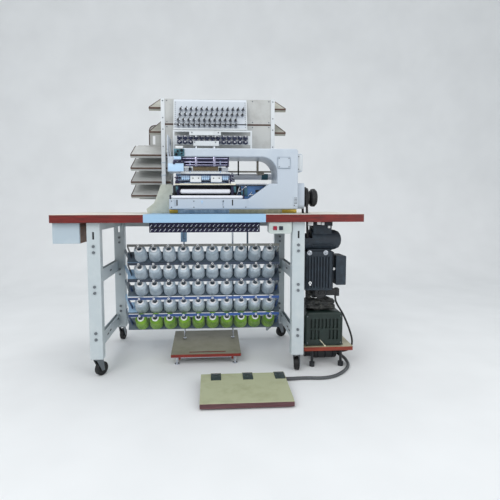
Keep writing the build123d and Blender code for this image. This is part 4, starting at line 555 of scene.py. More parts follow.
unitPlaces = [Matrix.Translation(spot(*onBank(firstX + tension["pitch"] * column, z))) @ turnTo(outward)
              for z, count, firstX in tension["rows"] for column in range(count)]
coils = [ringProfile(radius, tension["coilWire"], 6, height) for height, radius in tension["coils"]]


def placeUnits(name, unit, finish):
    # the same small part on each of the fifty units
    units = bmesh.new()
    addCopies(units, unit, unitPlaces)
    unit.free()
    placePiece(name, units, finish)


for name, profiles, steps, closed, finish, slot in (
        ("tensionDiscs", tension["discs"], 16, True, "groundSteel", "bright_steel"),
        ("tensionKnobs", [tension["knob"]], 12, False, "blackCasting", "black_cast"),
        ("tensionSprings", coils, 12, True, "groundSteel", "bright_steel")):
    unit = bmesh.new()
    for profile in profiles:
        spinProfile(unit, profile, steps, closed)
    placeUnits(name, unit, finish)
hook = bmesh.new()
addTube(hook, tension["hook"], tension["hookRadius"], sides=8)
bmesh.ops.translate(hook, verts=hook.verts[:], vec=-spot(0, 0, 0))
placeUnits("tensionHooks", hook, "blackOxide")
makePieces({
    # a dark strip across the plate above the lowest row
    "bankDarkStrip": dict(finish="blackOxide", prisms=[bankStrip((-186, 195), (1257.5, 1263), 1.6)]),
    "bankEdges": dict(finish="postWhiteEnamel", bevel=0.4, blocks=[(-188.6, 197.6, 224.8, 226.4, 1228.5, 1236)],
        prisms=[bankStrip((x, x + 4), (1236, 1383), 1.2) for x in (-188.4, 193.4)]),
    "bankStuds": dict(finish="blackOxide", turned=[
        ([(0, 0), (1.9, 0), (1.9, 1.2), (0, 1.8)], onBank(x, z, -0.2), outward, 8)
        for z in range(1246, 1380, 11) for x in (-179, 188)]),
})
print("upper tension bank dressed")

# Looper tension bank: a slanted bright pin on each of the fifty pegs, and a clamping strip between the rows
looper = {"left": -292, "columns": 25, "pitch": 21.32, "rows": (741, 719), "depth": 23, "reach": 5.5, "lean": 5,
          "screws": (-284, -185.4, -78.8, 27.8, 134.4, 233)}
pins = [(looper["left"] + looper["pitch"] * (column + 0.5), z)
        for z in looper["rows"] for column in range(looper["columns"])]
makePieces({
    "looperBeads": dict(finish="groundSteel", rods=[
        ((x - looper["lean"], looper["depth"], z - looper["reach"]),
         (x + looper["lean"], looper["depth"], z + looper["reach"]), 2.1, 10, 0.7) for x, z in pins]),
    "looperScrews": dict(finish="zincPlate", screws=screwRow([(x, 730) for x in looper["screws"]], 32, 3, 2.4)),
    "looperStrip": dict(finish="blackOxide", blocks=[(-291, 240, 32, 35, 727.5, 732.5)]),
})
print("looper tension bank dressed")

# Thread guide frame: a dark guide block, a tip, a ceramic eye and a cap for each peg, and screws on the shields
surface("blueBlackGuide", "#262C45", "#4A5172", 14, 0.34, 0.05, metallic=0.4,
        slot="dark_steel")  # lacquer worn to blue steel
guides = {"left": -168, "right": 199, "columns": 13, "depth": 200, "rows": ((1184, 6), (1162, 0)),
          "tip": [(0, 0), (5.6, 0), (5.6, 4.6), (4.6, 5.4), (0, 5.4)],
          "cap": [(0, 0), (2.6, 0), (2.6, 2), (1.6, 2.8), (0, 2.8)], "tilt": (0, -1, 0.3)}
guidePitch = (guides["right"] - guides["left"]) / guides["columns"]
guideDepth = guides["depth"]
guidePegs = [(guides["left"] + guidePitch * (column + 0.5), z, lift)
             for z, lift in guides["rows"] for column in range(guides["columns"])]
makePieces({
    "guideBlocks": dict(finish="blueBlackGuide", blocks=[
        (x - 12.2, x + 12.2, guideDepth - 6, guideDepth + 3.4, z - 8.5, z + 8.5, 1.2) for x, z, lift in guidePegs
    ] + [(x - 4, x + 4, guideDepth - 8, guideDepth + 1, z - 11.5, z + 11.5, 0.8) for x, z, lift in guidePegs]),
    "guideEyes": dict(finish="whiteCeramic", slot="bright_steel", turned=[
        (ringProfile(3.2, 1.0), (x, guideDepth - 13.4, z + lift), guides["tilt"], 14, True)
        for x, z, lift in guidePegs]),
    "guideTips": dict(finish="blueBlackGuide", turned=[
        (guides["tip"], (x, guideDepth - 8.4, z + lift * 0.8), guides["tilt"], 14) for x, z, lift in guidePegs]),
    "guideCaps": dict(finish="groundSteel", turned=[
        (guides["cap"], (x + 8, guideDepth - 6.2, z + 4), front, 10) for x, z, lift in guidePegs]),
    "shieldScrews": dict(finish="zincPlate", screws=screwRow(
        ((-90, 1206), (44, 1206), (-76, 1158), (30, 1158)), 176.2, 3.4, 2.2)),
})
print("thread guide frame dressed")

# Arm's left end: linkage block with its tabs, cap and knobs
surface("tealCasting", "#3E6470", "#6C94A0", 16, 0.38, 0.1, metallic=0.5,
        slot="bright_steel")  # paint rubbed to bright iron
surface("paleBlueEnamel", "#B4D2EE", "#CBDFF1", 50, 0.32, 0.05, slot="head_paint")
makePieces({
    "linkageBlock": dict(finish="tealCasting", slot="head_paint", bevel=1.4, blocks=[
        (-175, -124, 94, 99.7, 1077, 1113), (-174, -137, 99, 108.4, 1078, 1112),
        (-171, -150, 90, 95, 1092, 1109), (-146, -128, 89, 95, 1081, 1097)]),
    "linkageTabs": dict(finish="paleBlueEnamel", bevel=1.0, blocks=[
        (-176, -140, 93.5, 96, 1062, 1076.6), (-203.6, -129, 94.9, 96.2, 1004, 1042)]),
    "linkageCap": dict(finish="postWhiteEnamel", bevel=3.0, blocks=[(-168, -130, 92, 107, 1113.2, 1127)]),
    "linkageKnobs": dict(finish="blackOxide", slot="black_cast", turned=[
        ([(0, 0), (radius, 0), (radius, 6), (radius - 1.4, 7.4), (radius * 0.5, 7.4), (radius * 0.4, 5.6),
          (0, 5.6)], (x, 94.4, z), front, 16)
        for x, z, radius in ((-163, 1085, 6.5), (-156, 1101, 5), (-137, 1105, 6.5), (-137, 1089, 4.5))]),
})

# Needle bars: pale rods along them as painted highlights, two clamps, and the bracket that holds their ends
surface("mauveSteel", "#BDBBD6", "#8B88A8", 18, 0.2, 0.02, metallic=0.9,
        slot="bright_steel")  # polished, with a violet temper; on the rods along the needle bars its pale colour is painted highlight
makePieces({
    "highlightRodsAndClamps": dict(finish="mauveSteel", bevel=1.0,
        rods=[((-139, depth, z), (89, depth, z), radius) for depth, z, radius in
              ((110.6, 1068.5, 3.0), (110.6, 1050.5, 3.4), (111.5, 1037, 2.2))],
        blocks=[(x - 5, x + 5, 107.6, 113.2, 1030, 1076) for x in (-68, 22)]),
    "barBracket": dict(finish="gunBlueSteel", bevel=1.2, blocks=[
        (-178, -126, 92.6, 95.8, 1044, 1059), (-180, -170, 90, 95.8, 1038, 1052),
        (-145, -138, 106, 113.2, 1028, 1075), (88, 95, 106, 113.2, 1028, 1075)]),
    "barScrews": dict(finish="zincPlate", screws=screwRow(
        ((-68, 1066), (-68, 1036), (22, 1066), (22, 1036)), 107.7, 3.2, 2.4)
        + screwRow(((-158, 1051.5), (-136, 1051.5)), 92.7, 3.2, 2.4)),
})

# Needle comb in front of the clamp: a bronze plate with evenly spaced teeth and a folded top
surface("agedBronze", "#6E6350", "#93866A", 10, 0.36, 0.05, metallic=0.8, slot="bright_steel")
comb = {"left": -84, "pitch": 4.8, "teeth": 26, "toothHalf": 0.9}
combTeeth = [comb["left"] + comb["pitch"] * (tooth + 0.5) for tooth in range(comb["teeth"])]
makePieces({
    "needleComb": dict(finish="agedBronze", body="needle_bar_body", bevel=0.3, blocks=[
        (-84, 42, 125.4, 127.2, 1009, 1029), (-84.5, 42.5, 123.6, 127.6, 1024, 1029.6)
    ] + [(x - comb["toothHalf"], x + comb["toothHalf"], 123.8, 126, 1009, 1025) for x in combTeeth]),
})

# Presser: collars on its rods, white faces on the feet, a navy strip of painted shadow under its white strip, and
# the row of small guides between them
# navy strip under the presser's white strip: painted shadow
surface("navyPaintedShadow", "#1F2840", "#35405C", 14, 0.3, 0.03, slot="dark_steel")
presser = {
    "body": "presser_body",
    "footFace": [(115.2, 982.5), (114.2, 983.4), (99.4, 958.6), (99.4, 951.5), (101, 951.5), (101, 957.2)],
    "guides": [-136 + 9.4 * i for i in range(4)] + [-37 + 9.4 * i for i in range(4)] + [67, 76.4, 85.8],
    "footScrews": (-84, -56, 18, 46),
}
makePieces({
    "presserCollars": dict(finish="blackOxide", slot="black_cast", body=presser["body"], turned=[
        ([(4.1, 0), (7.2, 0), (7.2, 15), (6.2, 16), (4.1, 16)], (x, 119, 1008), up, 20, True) for x in (-98, 52)]),
    "presserFaces": dict(finish="postWhiteEnamel", body=presser["body"], bevel=0.4,
        prisms=[(presser["footFace"], "x", (x, x + 54)) for x in (-97, 5)],
        blocks=[(-143, 100, 115.4, 117.2, 994, 1001)]),
    "presserShade": dict(finish="navyPaintedShadow", body=presser["body"], bevel=0.3,
        blocks=[(-142, 99, 115.8, 117.2, 984, 993.4)]),
    "smallGuides": dict(finish="paleBlueEnamel", slot="bright_steel", body=presser["body"], bevel=0.5, blocks=[
        (x - 2.6, x + 2.6, 108.5, 117.4, 963, 983) for x in presser["guides"]
    ] + [(*x, 113.8, 117.4, 967, 971) for x in ((-140, -101), (-41, -4), (62, 92))]),
    "presserScrews": dict(finish="blackOxide", body=presser["body"],
        screws=[((x, 106.6, 971.4), (0, -0.86, 0.51), 3.0, 2.2) for x in presser["footScrews"]]
        + screwRow([(x, 978) for x in presser["guides"]], 108.6, 1.8, 1.4)),
})

# Cloth guide behind the presser, a ribbed rail with two bars in front of it, and the clamp towers on the plate
makePieces({
    "clothGuideRail": dict(finish="bluedPresserSteel", blocks=[
        (-172, 95, 160, 164, 944.6, 998)
    ] + [(x, x + 3.2, 156.6, 160.4, 947, 992) for x in range(-166, 90, 9)]),
    "clothGuideBars": dict(finish="gunBlueSteel",
        rods=[((-174, 154, 977), (97, 154, 977), 3.4), ((-174, 154, 957), (97, 154, 957), 2.4)],
        blocks=[(x, x + 6, 150, 160.4, 944.6, 982) for x in (-173, 90)]),
    "plateClamps": dict(finish="gunBlueSteel", bevel=0.8, blocks=[
        (97.4, 104, 106.5, 116, 944.6, 988), (104, 123, 104.6, 110, 954, 966),
        (107, 115, 104.6, 110, 968, 998), (103, 119, 106.5, 116, 980, 986),
        (-172, -149, 106.5, 116, 944.6, 958), (-168, -158, 104.6, 114, 957, 984),
        (-176, -152, 106, 113, 972, 977)]),
    "clampScrews": dict(finish="groundSteel", screws=screwRow(
        ((111, 991), (111, 975), (-163, 980), (-163, 964), (115, 960)), 104.8, 2.8, 2.2)),
})
print("needle zone dressed")

# Bed front: the plate's rolled edge, painted shade in the gap under the head and in the recess behind the rollers,
# and the blue looper casing
surface("creamEnamel", "#E6E0C8", "#CFC7A8", 30, 0.4, 0.04)
surface("shadeAndTrimBlack", "#14151B", "#22242C", 20, 0.6, 0.05, slot="dark_steel")  # matt black: painted shade in recesses and slots, and the dark trim on the looper casing
surface("steelBlueEnamel", "#4C78AE", "#6E96C2", 40, 0.36, 0.06, slot="head_paint")
surface("slateGapShade", "#52697E", "#7F93A3", 26, 0.42, 0.06, wornAmount=0.6, metallic=0.3,
        slot="dark_steel")  # slate with paler worn patches: painted shade in the gap under the head
surface("brownGapShade", "#6C6E5D", "#8C8B77", 20, 0.45, 0.06, wornAmount=0.6, metallic=0.3,
        slot="dark_steel")  # brown-grey with paler patches: painted shade in the gap under the head
makePieces({
    "plateEdge": dict(finish="creamEnamel", slot="head_paint", bevel=0.9,
        blocks=[(-176.2, 128, 109.4, 112.3, 938.6, 945.3)]),
    # a matt black sheet in the recess behind the rollers: painted shade
    "recessShade": dict(finish="shadeAndTrimBlack", bevel=0.3, blocks=[
        (-188, 146, 166.2, 168.2, 869.4, 938), (-188, -176, 122, 166.4, 872, 900)]),
    # dark strips in the gap under the head: painted shade
    "gapShadeLeft": dict(finish="slateGapShade", bevel=0.3, blocks=[(-158, 96, 103, 106, 796.5, 816.6)]),
    "gapShadeRight": dict(finish="brownGapShade", bevel=0.3, blocks=[(96.2, 360, 103, 106, 796.5, 816.6)]),
    "looperCasing": dict(finish="steelBlueEnamel",
        prisms=[([(150, 870), (191.5, 870), (283, 934.6), (150, 934.6)], "depth", (152.8, 154.4))],
        blocks=[(146, 178.4, 153, 168, 870, 935)]),
    "looperCasingTrim": dict(finish="shadeAndTrimBlack", bevel=0.8, blocks=[
        (232, 262, 150.6, 153, 903, 916), (150, 157, 148, 153, 872, 934), (168, 173, 148, 153, 880, 926)]),
    "looperLevers": dict(finish="groundSteel", bevel=0.8, rods=[
        ((134, 146, 884), (150, 146, 931), 2.4), ((160, 147, 912), (176, 147, 930), 2.0),
        ((196, 150, 884), (214, 150, 906), 1.8)
    ], blocks=[(128, 141, 145, 149, 876, 886), (142, 154, 144.6, 149, 906, 912),
               (176, 186, 144.6, 149, 928, 935), (206, 219, 148, 152.8, 888, 894)]),
    "looperCasingBars": dict(finish="tealCasting", bevel=1.2, blocks=[
        (176, 190, 146, 153.2, 884, 924), (158, 167, 144, 153.2, 890, 905),
        (118, 131, 118, 124, 902, 932), (-170, -158, 118, 124, 902, 932)]),
    "rollerCaps": dict(finish="gunBlueSteel", turned=[
        ([(0, 0), (9, 0), (9, 5), (7, 7), (0, 7)], (x, 120.6, 907), front, 20) for x in (-158.4, 112.4)]),
})
print("bed front dressed")

# Head: painted shade in its slots and louvres, painted shadow lines round the upper cover, trims, screws, brass
# pads, window stays and collar
surface("brass", "#8E7A34", "#B39A4C", 12, 0.34, 0.03, metallic=0.85,
        slot="bright_steel")  # tarnished between rubbed patches
# grey lines round the inspection cover: painted shadow
surface("coverShadowGrey", "#8493A0", "#9DABB6", 30, 0.5, 0.04, slot="head_paint")
surface("beigeEnamel", "#A39A8C", "#BEB6A8", 20, 0.4, 0.05, metallic=0.3, slot="head_paint")
makePieces({
    # black in the slots and louvres: painted shade
    "headSlotShades": dict(finish="shadeAndTrimBlack", bevel=0.3, blocks=[
        (-166, -160, 95.2, 96.3, 836, 865), (108.5, 114.5, 95.2, 96.3, 836, 865),
        (421, 425, 96.6, 97.7, 834, 839)
    ] + [(421.5, 437.5, 97.0, 97.7, z, z + 2.4) for z in range(844, 873, 7)]),
    # painted shadow lines round the inspection cover
    "coverShadowLines": dict(finish="coverShadowGrey", bevel=0.4, blocks=[
        (337, 401, 96.2, 97.4, 1019.5, 1022.4), (337, 339, 96.2, 97.4, 1021, 1076),
        (399.6, 401, 96.2, 97.2, 1021, 1076), (339, 400, 96.2, 97.2, 1074.8, 1076)]),
    "headTrims": dict(finish="paleBlueEnamel", bevel=0.8, blocks=[
        (-42, -38, 93.2, 96.2, 846, 860), (-46, -34, 94.4, 96.2, 856, 860)]),
    "endBoxLid": dict(finish="postWhiteEnamel", slot="head_paint", bevel=1.2,
        blocks=[(445, 469, 140, 145.2, 1012, 1092)]),
    "headScrews": dict(finish="zincPlate", screws=screwRow(
        [(x, z) for x in (-190, -80, 66) for z in (828, 858)] + [(178, 828)], 96.1, 3.2, 2.0)
        + screwRow([(x, z) for z in (1028, 1070) for x in (345, 394)], 97.6, 2.6, 1.8)
        + screwRow(((452, 1020), (452, 1084)), 140.2, 3.0, 2.2)),
    "brassPads": dict(finish="brass", bevel=0.8,
        blocks=[(*x, 104, 112, 798, 816) for x in ((-202, -160), (362, 436))]),
    "windowClamps": dict(finish="blackOxide", bevel=1.0, blocks=[
        (153, 161, 336, 345.2, 988, 1084), (153, 161, 299.6, 345.2, 1079, 1086)]),
    "windowStays": dict(finish="beigeEnamel", bevel=1.2, blocks=[
        (258, 270, 337, 345.2, 1012, 1084), (258, 270, 299.6, 345.2, 1079, 1086),
        (106.5, 344.5, 344.6, 355.4, 1018.6, 1027.4), (262, 300, 334, 340, 1004, 1018)]),
    "pullerCollar": dict(finish="tealCasting", body="rear_puller_body",
        rods=[((286, 350, 995), (322, 350, 995), 17.2)]),
})
print("head dressed")

# Thread rack: brown board edges, the bristle strip in the panel split, hood edging, foot gusset and screws
surface("umberLipping", "#4A342B", "#6B4E3E", 14, 0.6, 0.1, slot="grey_board")
surface("putty", "#C6CABE", "#B0B5A8", 34, 0.6, 0.2, wornAmount=0.6,
        slot="grey_board")  # hand-brushed over filler
rack = {
    "lowFronts": (1109, 1040, 966, 893), "highFronts": (1358, 1232), "hoodRadius": 30,
    "gusset": [(-334, 796), (-212, 796), (-196, 880), (-193, 940), (-206, 949), (-262, 948), (-279, 900),
               (-300, 850), (-340, 818)],
}
hoodTurns = [math.pi / 12 * i for i in range(1, 7)]
hoodLine = [(-343, 449, 1181), (-343, 449, 1262)] + [
    (-313 - rack["hoodRadius"] * math.cos(a), 449, 1260 + rack["hoodRadius"] * math.sin(a)) for a in hoodTurns
] + [(-300, 449, 1290), (-258, 449, 1290)]
makePieces({
    "boardEdges": dict(finish="umberLipping", bevel=0.5, blocks=[
        (-424.6, -212, 298.2, 300.2, z - 8.4, z + 0.6) for z in rack["lowFronts"]
    ] + [(*x, 298.2, 300.2, z - 8.6, z + 0.6) for z in rack["highFronts"] for x in ((-322.6, -257), (349, 412.6))],
        rods=[((-422.4, 299.6, z + 0.6), (-422.4, 449, z + 66), 2.1) for z in rack["lowFronts"]]
        + [((x, 299.6, z + 0.6), (x - 45 * side, 459, z + 83.6), 2.1)
           for z in rack["highFronts"] for x, side in ((-320.4, -1), (410.4, 1))]),
    "bristleStrip": dict(finish="umberLipping",
        blocks=[(*x, 283, 288.6, 1263.2, 1271.2) for x in ((-236.6, -187), (197.4, 328.6))]),
    "hoodEdging": dict(finish="umberLipping", tubes=[(hoodLine, 2.6)],
        rods=[((-341, 449, 1246), (-259, 449, 1246), 1.8)]),
    "footGusset": dict(finish="putty", prisms=[(rack["gusset"], "depth", (272, 279.6))]),
    "postCollars": dict(finish="drawerGreyPaint", bevel=0.8,
        blocks=[(-258.6, -235.4, 278.6, 301, z, z + 5) for z in (1062, 996)]),
    "rackScrews": dict(finish="zincPlate", screws=screwRow(
        [(x, z) for x in (-247, 339) for z in (1150, 1240, 1300, 1388)], 280.1, 3.4, 2.2)
        + screwRow([(x, z) for x in (-226, 230, 318) for z in (1136, 1254, 1280, 1390)], 284.1, 3.2, 2.0)),
})
print("thread rack dressed")

# Legs and casters: painted shade in the slots of the front legs and end braces, and a cap on each side of each hub
legs = {"slotHalf": 7, "slotInsets": (3.2, 4.6), "slotZ": (672, 716), "braceInset": 22, "braceHalf": 0.7,
        "braceSlots": [(366, 404, 470, 478), (520, 552, 146, 154), (330, 362, 136, 144), (276, 308, 132, 140)],
        "hubCap": [(0, -3), (9, -3), (9, 0.6), (7.4, 2.0), (4.6, 2.0), (4.2, 3.0), (0, 3.0)], "capReach": 7.6}


def nodeBox(name):
    # the node's lowest and highest x, depth and z
    low, high = (Vector(corner) * 1000 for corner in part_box(name))
    away = Vector((0, tableFrontY, 0))
    return low - away, high - away


# black blocks in the slots: painted shade
slotShades = []
for corner in corners:
    low, high = nodeBox("leg_" + corner)
    legX = (low.x + high.x) / 2
    if corner.startswith("front"):
        slotShades.append((legX - legs["slotHalf"], legX + legs["slotHalf"],
                           *[low.y + inset for inset in legs["slotInsets"]], *legs["slotZ"]))
        braceX = low.x + legs["braceInset"] if legX < 0 else high.x - legs["braceInset"]
        braceSpan = (braceX - legs["braceHalf"], braceX + legs["braceHalf"])
        slotShades += [(*braceSpan, *slot) for slot in legs["braceSlots"]]
    low, high = nodeBox("caster_wheel_" + corner)
    hub = (low + high) / 2
    name = "hubCap" + corner.title().replace("_", "")
    makePieces({name: dict(finish="zincPlate", body="wheel_" + corner, turned=[
        (legs["hubCap"], (hub.x + side * legs["capReach"], hub.y, hub.z), (side, 0, 0), 20) for side in (-1, 1)])})
makePieces({"slotShades": dict(finish="shadeAndTrimBlack", bevel=0.3, blocks=slotShades)})
print("legs and casters dressed")

# Motor: fins on its barrel, bright bolts, terminal clips, the control arm's knob and pipe, and the tension wheel
motor = {"x": 574, "depth": 160, "z": 657, "finRadius": 58.5, "fin": (0.1, 0.007, 0.0026),
         "finTurns": range(-160, 65, 16), "backmost": 0.95, "topmost": 0.72, "boltPlaces": (504.5, 588)}
motorFins = bmesh.new()
for finTurn in motor["finTurns"]:  # none at the very back, nor on top, where the terminals are
    angle = math.radians(finTurn)
    away = Vector((0, math.cos(angle), math.sin(angle)))
    if away.y > motor["backmost"] or away.z > motor["topmost"]:
        continue
    centre = spot(motor["x"], motor["depth"], motor["z"]) + away * motor["finRadius"] / 1000
    bmesh.ops.create_cube(motorFins, size=1.0, matrix=Matrix.Translation(centre) @ Matrix.Rotation(angle, 4, "X")
                          @ Matrix.Diagonal((*motor["fin"], 1)))
placePiece("motorFins", motorFins, "motorSlateEnamel")
makePieces({
    "brightBolts": dict(finish="groundSteel", turned=[
        (profile, (x, 100.2, 595), front, steps, closed)
        for profile, steps, closed in (
            ([(0, 0), (10, 0), (10, 2), (7.6, 3), (7.6, 8), (5.4, 10), (0, 10)], 6, False),
            ([(7, 0), (12.5, 0), (12.5, 1.6), (7, 1.6)], 24, True))
        for x in motor["boltPlaces"]]),
    "terminalClips": dict(finish="whiteCeramic", slot="white_paint", bevel=1.4, blocks=[
        (494, 520, 94, 104, 734, 752), (541, 560, 96, 106, 738, 752), (564, 578, 96, 106, 736, 750),
        (600, 611, 104, 118, 720, 746), (498, 514, 86, 91.6, 436, 446), (502, 510, 86, 91.6, 428, 450)]),
    "terminalRail": dict(finish="blackOxide", slot="black_sheet", bevel=0.8,
        blocks=[(492, 622, 103, 113, 732, 755.6)]),
    "controlKnob": dict(finish="whiteCeramic", slot="motor_paint", turned=[
        ([(0, 0), (7.2, 0), (8, 2), (8, 5), (6, 8), (0, 8.6)], (637, 123.6, 508), front, 18)]),
    "controlPipe": dict(finish="blackOxide",
        tubes=[([(637, 126, 512), (637, 124, 540), (636, 122, 572), (634, 122, 596)], 3.2)]),
    "housingSeams": dict(finish="blackOxide", slot="motor_paint", bevel=0.4,
        blocks=[(*x, 98.6, 100.4, 403, 598) for x in ((485, 487.4), (625.6, 628))]),
    "tensionWheel": dict(finish="blackCasting", turned=[
        ([(0, 73), (9, 73), (11, 70), (27, 70), (31.4, 66), (31.4, 52), (27, 48), (27, 24), (31.4, 20), (31.4, 4),
          (28, -0.6), (12, -0.6), (9, -2.6), (0, -2.6)], (531.6, 160, 382), right, 36),
        ([(0, 0), (30, 0), (31, 2), (31, 9), (28, 12), (24, 12), (21, 9.5), (11, 9.5), (9, 13), (5, 13), (4, 11),
          (0, 11)], (567, 130, 384), front, 36)]),
    "tensionArm": dict(finish="blackCasting", bevel=2.0, blocks=[
        (604.6, 671.6, 135.4, 164.4, 365.4, 398.6), (655, 673, 133, 166, 362, 402)]),
})
print("motor dressed")

# Crumpled duct of coated cloth between the housing and the blower
duct = {"x": (488, 652), "depth": (102, 208), "z": (290.5, 350), "cuts": 30, "squareness": 5.0, "inset": 6.0,
        "broadFold": 4.6, "fineFold": 2.2, "riserPlace": (513, 157, 356), "riserRadius": 14.5, "riserFold": 1.8,
        "riserTop": 44, "ribs": 26, "ribPitch": 3.4}


def foldHeight(place):
    # long shallow folds that run across the duct, with finer creases on them
    x, y, z = place
    broad = math.sin(x * 0.055 + z * 0.12 + 1.3 * math.sin(y * 0.03))
    broad += 0.6 * math.sin(z * 0.25 - x * 0.03 + y * 0.05)
    fine = math.sin(x * 0.21 - z * 0.17) * math.sin(y * 0.11 + x * 0.07)
    return duct["broadFold"] * broad + duct["fineFold"] * fine


def crumpledDuct():
    # a block divided finely, its corners drawn in and its skin moved in and out by the folds, with a ribbed riser
    bm = bmesh.new()
    addBlock(bm, *duct["x"], *duct["depth"], *duct["z"])
    bmesh.ops.subdivide_edges(bm, edges=bm.edges[:], cuts=duct["cuts"], use_grid_fill=True)
    low, high = [spot(*corner) for corner in zip(duct["x"], duct["depth"], duct["z"])]
    middle, half = (low + high) / 2, (high - low) / 2
    for vert in bm.verts:
        share = Vector([(vert.co[i] - middle[i]) / half[i] for i in range(3)])
        size = sum(abs(s) ** duct["squareness"] for s in share) ** (1 / duct["squareness"])
        drawn = max(abs(s) for s in share) / max(size, 1e-6)
        rounded = Vector([middle[i] + share[i] * drawn * half[i] for i in range(3)])
        away = Vector([share[i] / half[i] for i in range(3)]).normalized()
        vert.co = rounded + away * (foldHeight(rounded * 1000) - duct["inset"]) / 1000
    ribs = [(duct["riserRadius"] + duct["riserFold"] * math.sin(i * 1.9), duct["riserTop"] - duct["ribPitch"] * i)
            for i in range(1, duct["ribs"] + 1)]
    addTurned(bm, [(0, 46), (11, duct["riserTop"])] + ribs + [(0, -46)], duct["riserPlace"], up, 28)
    return bm


placePiece("crumpledDuct", crumpledDuct(), "coatedDuctCloth", smoothAngle=60,
           replaced=("motor_duct",))

# Blower, platform and tank: screws, cap seam, the pale stick and the tank's bands
makePieces({
    "blowerScrews": dict(finish="zincPlate", screws=screwRow(
        [(x, z) for x in (494, 668) for z in (130, 268)], 85.1, 3.6, 2.4)),
    "blowerTrim": dict(finish="blowerGreenEnamel", bevel=1.0, blocks=[
        (481.4, 680.6, 83.4, 86, 118, 124), (506, 656, 83.6, 86, 198.6, 203.4)]),
    "paleStick": dict(finish="creamEnamel", slot="bright_steel", rods=[((559, 82.5, 146), (584, 80.5, 117), 1.7)],
        blocks=[(580, 590, 78, 85.6, 112.4, 118)]),
    "tankBands": dict(finish="blackOxide", slot="black_cast",
        rods=[((x - 4, 178, 48), (x + 4, 178, 48), 31) for x in (567, 607, 647)]),
})
print("blower, platform and tank dressed")

# Switch box, pedal hinges, painted shade in the treadle's slot, and the handwheel's nut and knurling
surface("hingeSteel", "#3F4B49", "#5C6B68", 12, 0.42, 0.05, metallic=0.5, slot="dark_steel")
surface("bezelGrey", "#C9CFD2", "#B4BABD", 12, 0.4, 0.02, slot="switch_case")
hinges = {"xs": (22, 170, 319), "plateHalf": 23.6, "screws": ((-16, -96), (16, -96), (0, -104)), "slope": 0.061,
          "plate": [(-134, 40.6), (-134, 42.4), (-108.6, 45.0), (-71, 47.3), (-71, 45.6), (-108.6, 42.4)]}
wheel = {"depth": 200, "z": 876, "knurls": 36, "knurlCircle": 45.2, "body": "handwheel_body"}
knurlTurns = [2 * math.pi * number / wheel["knurls"] for number in range(wheel["knurls"])]
knurls = [(wheel["depth"] + wheel["knurlCircle"] * math.cos(a), wheel["z"] + wheel["knurlCircle"] * math.sin(a))
          for a in knurlTurns]
makePieces({
    "switchFrames": dict(finish="bezelGrey",
        blocks=[(x - 12, x - 9.6, 6.6, 8.4, 715, 739) for x in (307.8, 333.8)]),
    "hingePlates": dict(finish="hingeSteel", body="pedal_body", bevel=0.4, prisms=[
        (hinges["plate"], "x", (x - hinges["plateHalf"], x + hinges["plateHalf"])) for x in hinges["xs"]]),
    "hingeKnuckles": dict(finish="zincPlate", body="pedal_body", bevel=1.0,
        blocks=[(x - 12, x + 12, -84, -72, 45.6, 48.4) for x in hinges["xs"]]),
    # black in the treadle's slot: painted shade
    "treadleSlotShade": dict(finish="shadeAndTrimBlack", body="treadle_body", bevel=0.3,
        blocks=[(-115.2, 77.2, 171.8, 180.2, 50, 60.6)]),
    "hingeScrews": dict(finish="zincPlate", body="pedal_body", screws=[
        ((x + offset, depth, 47.1 + (depth + 71) * hinges["slope"]), (0, -0.066, 1), 2.8, 1.2)
        for x in hinges["xs"] for offset, depth in hinges["screws"]]),
    "wheelNut": dict(finish="zincPlate", body=wheel["body"], turned=[
        ([(0, 0), (10, 0), (10, 5), (8, 7), (0, 7)], (556.6, wheel["depth"], wheel["z"]), right, 6)]),
    "wheelKnurls": dict(finish="blackCasting", body=wheel["body"],
        rods=[((536, depth, z), (550, depth, z), 1.6, 8, 0) for depth, z in knurls]),
})
print("controls dressed")

# Floor and backdrop in one sweep, lamps and camera, in metres. The air that the camera sees past the sweep's
# edges is about as grey as the paper, so the edges hardly show
stage = {"half": 150.0, "back": 3.2, "height": 60.0, "radius": 1.2, "steps": 12,
         "airLight": "#F2F5F8", "airStrength": 0.78, "airSeen": "#C9CCCE"}


def makeStage():
    bm = bmesh.new()
    half, back, radius, steps = stage["half"], stage["back"], stage["radius"], stage["steps"]
    turns = [math.pi / 2 * i / steps for i in range(1, steps + 1)]
    line = [(-half, 0.0), (back - radius, 0.0)]
    line += [(back - radius + radius * math.sin(a), radius - radius * math.cos(a)) for a in turns]
    line.append((back, stage["height"]))
    verts = [bm.verts.new((-half, y, z)) for y, z in line]
    edges = [bm.edges.new(pair) for pair in zip(verts, verts[1:])]
    swept = bmesh.ops.extrude_edge_only(bm, edges=edges)["geom"]
    bmesh.ops.translate(bm, verts=[v for v in swept if isinstance(v, bmesh.types.BMVert)], vec=(2 * half, 0, 0))
    for face in bm.faces:
        face.smooth = True
    mesh = bpy.data.meshes.new("studioSweep")
    bm.to_mesh(mesh)
    bm.free()
    sweep = bpy.data.objects.new("studioSweep", mesh)
    bpy.context.scene.collection.objects.link(sweep)
    add, shader = newMaterial("backdropPaper")  # matt seamless paper, very faintly clouded
    clouds = add("TexNoise", Scale=3, Detail=2, Vector=add("TexCoord").outputs["Object"])
    paperRamp = setRamp(add("ValToRGB", Fac=clouds), [(0.3, "#E7E9EA"), (0.7, "#ECEEEF")])
    setNode(shader, {"Base Color": paperRamp, "Roughness": 0.9})
    mesh.materials.append(materials["backdropPaper"])


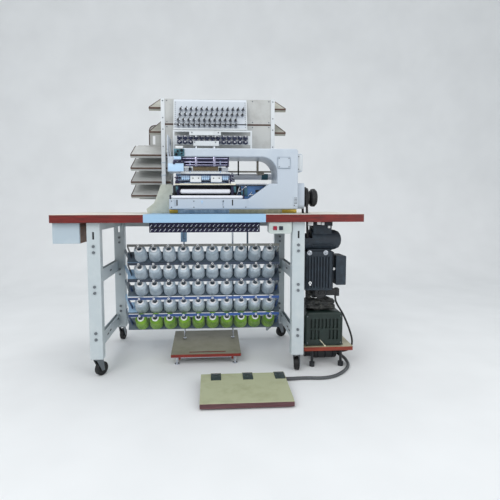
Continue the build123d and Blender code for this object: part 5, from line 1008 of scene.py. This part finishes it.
makeStage()
lamps = {
    "keySoftbox": dict(place=(-1.6, -2.6, 2.6), aim=(0, 0, 0.7), size=2.2, power=38),
    "fillSoftbox": dict(place=(2.2, -2.4, 1.6), aim=(0, 0, 0.7), size=2.4, power=24),
    "topSoftbox": dict(place=(0, 0.4, 3.2), aim=(0, 0, 0.6), size=2.6, power=24),
}
for name, lamp in lamps.items():
    data = bpy.data.lights.new(name, "AREA")
    data.shape = "DISK"
    data.size = lamp["size"]
    data.energy = lamp["power"]
    light = bpy.data.objects.new(name, data)
    light.location = lamp["place"]
    light.rotation_euler = (Vector(lamp["aim"]) - Vector(lamp["place"])).to_track_quat("-Z", "Y").to_euler()
    bpy.context.scene.collection.objects.link(light)

world = bpy.data.worlds.new("studioAir")
world.use_nodes = True
bpy.context.scene.world = world
air = world.node_tree
airLight = setNode(air.nodes["Background"],
                   {"Color": shadeOf(stage["airLight"]), "Strength": stage["airStrength"]})
add = partial(addNode, air)
airSeen = add("Background", Color=shadeOf(stage["airSeen"]), Strength=1)
rays = add("LightPath").outputs
direct = add("Math", operation="MAXIMUM", also={0: rays["Is Camera Ray"], 1: rays["Is Glossy Ray"]})
seen = add("Math", operation="MAXIMUM", also={0: direct, 1: rays["Is Transmission Ray"]})
mixedAir = add("MixShader", also={0: seen, 1: airLight, 2: airSeen})
setNode(air.nodes["World Output"], {"Surface": mixedAir})

view = {"place": (0.00407, -2.1107, 0.8366), "yaw": 0.0624, "pitch": 0.0784, "roll": -0.0018, "focalPixels": 409.7,
        "frameWidth": 500, "centreX": 236.66, "centreY": 237.57, "sensor": 36.0}
cameraData = bpy.data.cameras.new("photoCamera")
cameraData.sensor_width = view["sensor"]
cameraData.lens = view["focalPixels"] / view["frameWidth"] * view["sensor"]
cameraData.shift_x = 0.5 - view["centreX"] / view["frameWidth"]
cameraData.shift_y = view["centreY"] / view["frameWidth"] - 0.5
camera = bpy.data.objects.new("photoCamera", cameraData)
camera.location = view["place"]
gaze = Vector((math.sin(view["yaw"]) * math.cos(view["pitch"]), math.cos(view["yaw"]) * math.cos(view["pitch"]),
               -math.sin(view["pitch"])))
camera.rotation_mode = "QUATERNION"
camera.rotation_quaternion = gaze.to_track_quat("-Z", "Y") @ Matrix.Rotation(view["roll"], 3, "Z").to_quaternion()
bpy.context.scene.collection.objects.link(camera)
bpy.context.scene.camera = camera
bpy.context.scene.view_settings.view_transform = "Standard"
print("stage, lamps and camera set")
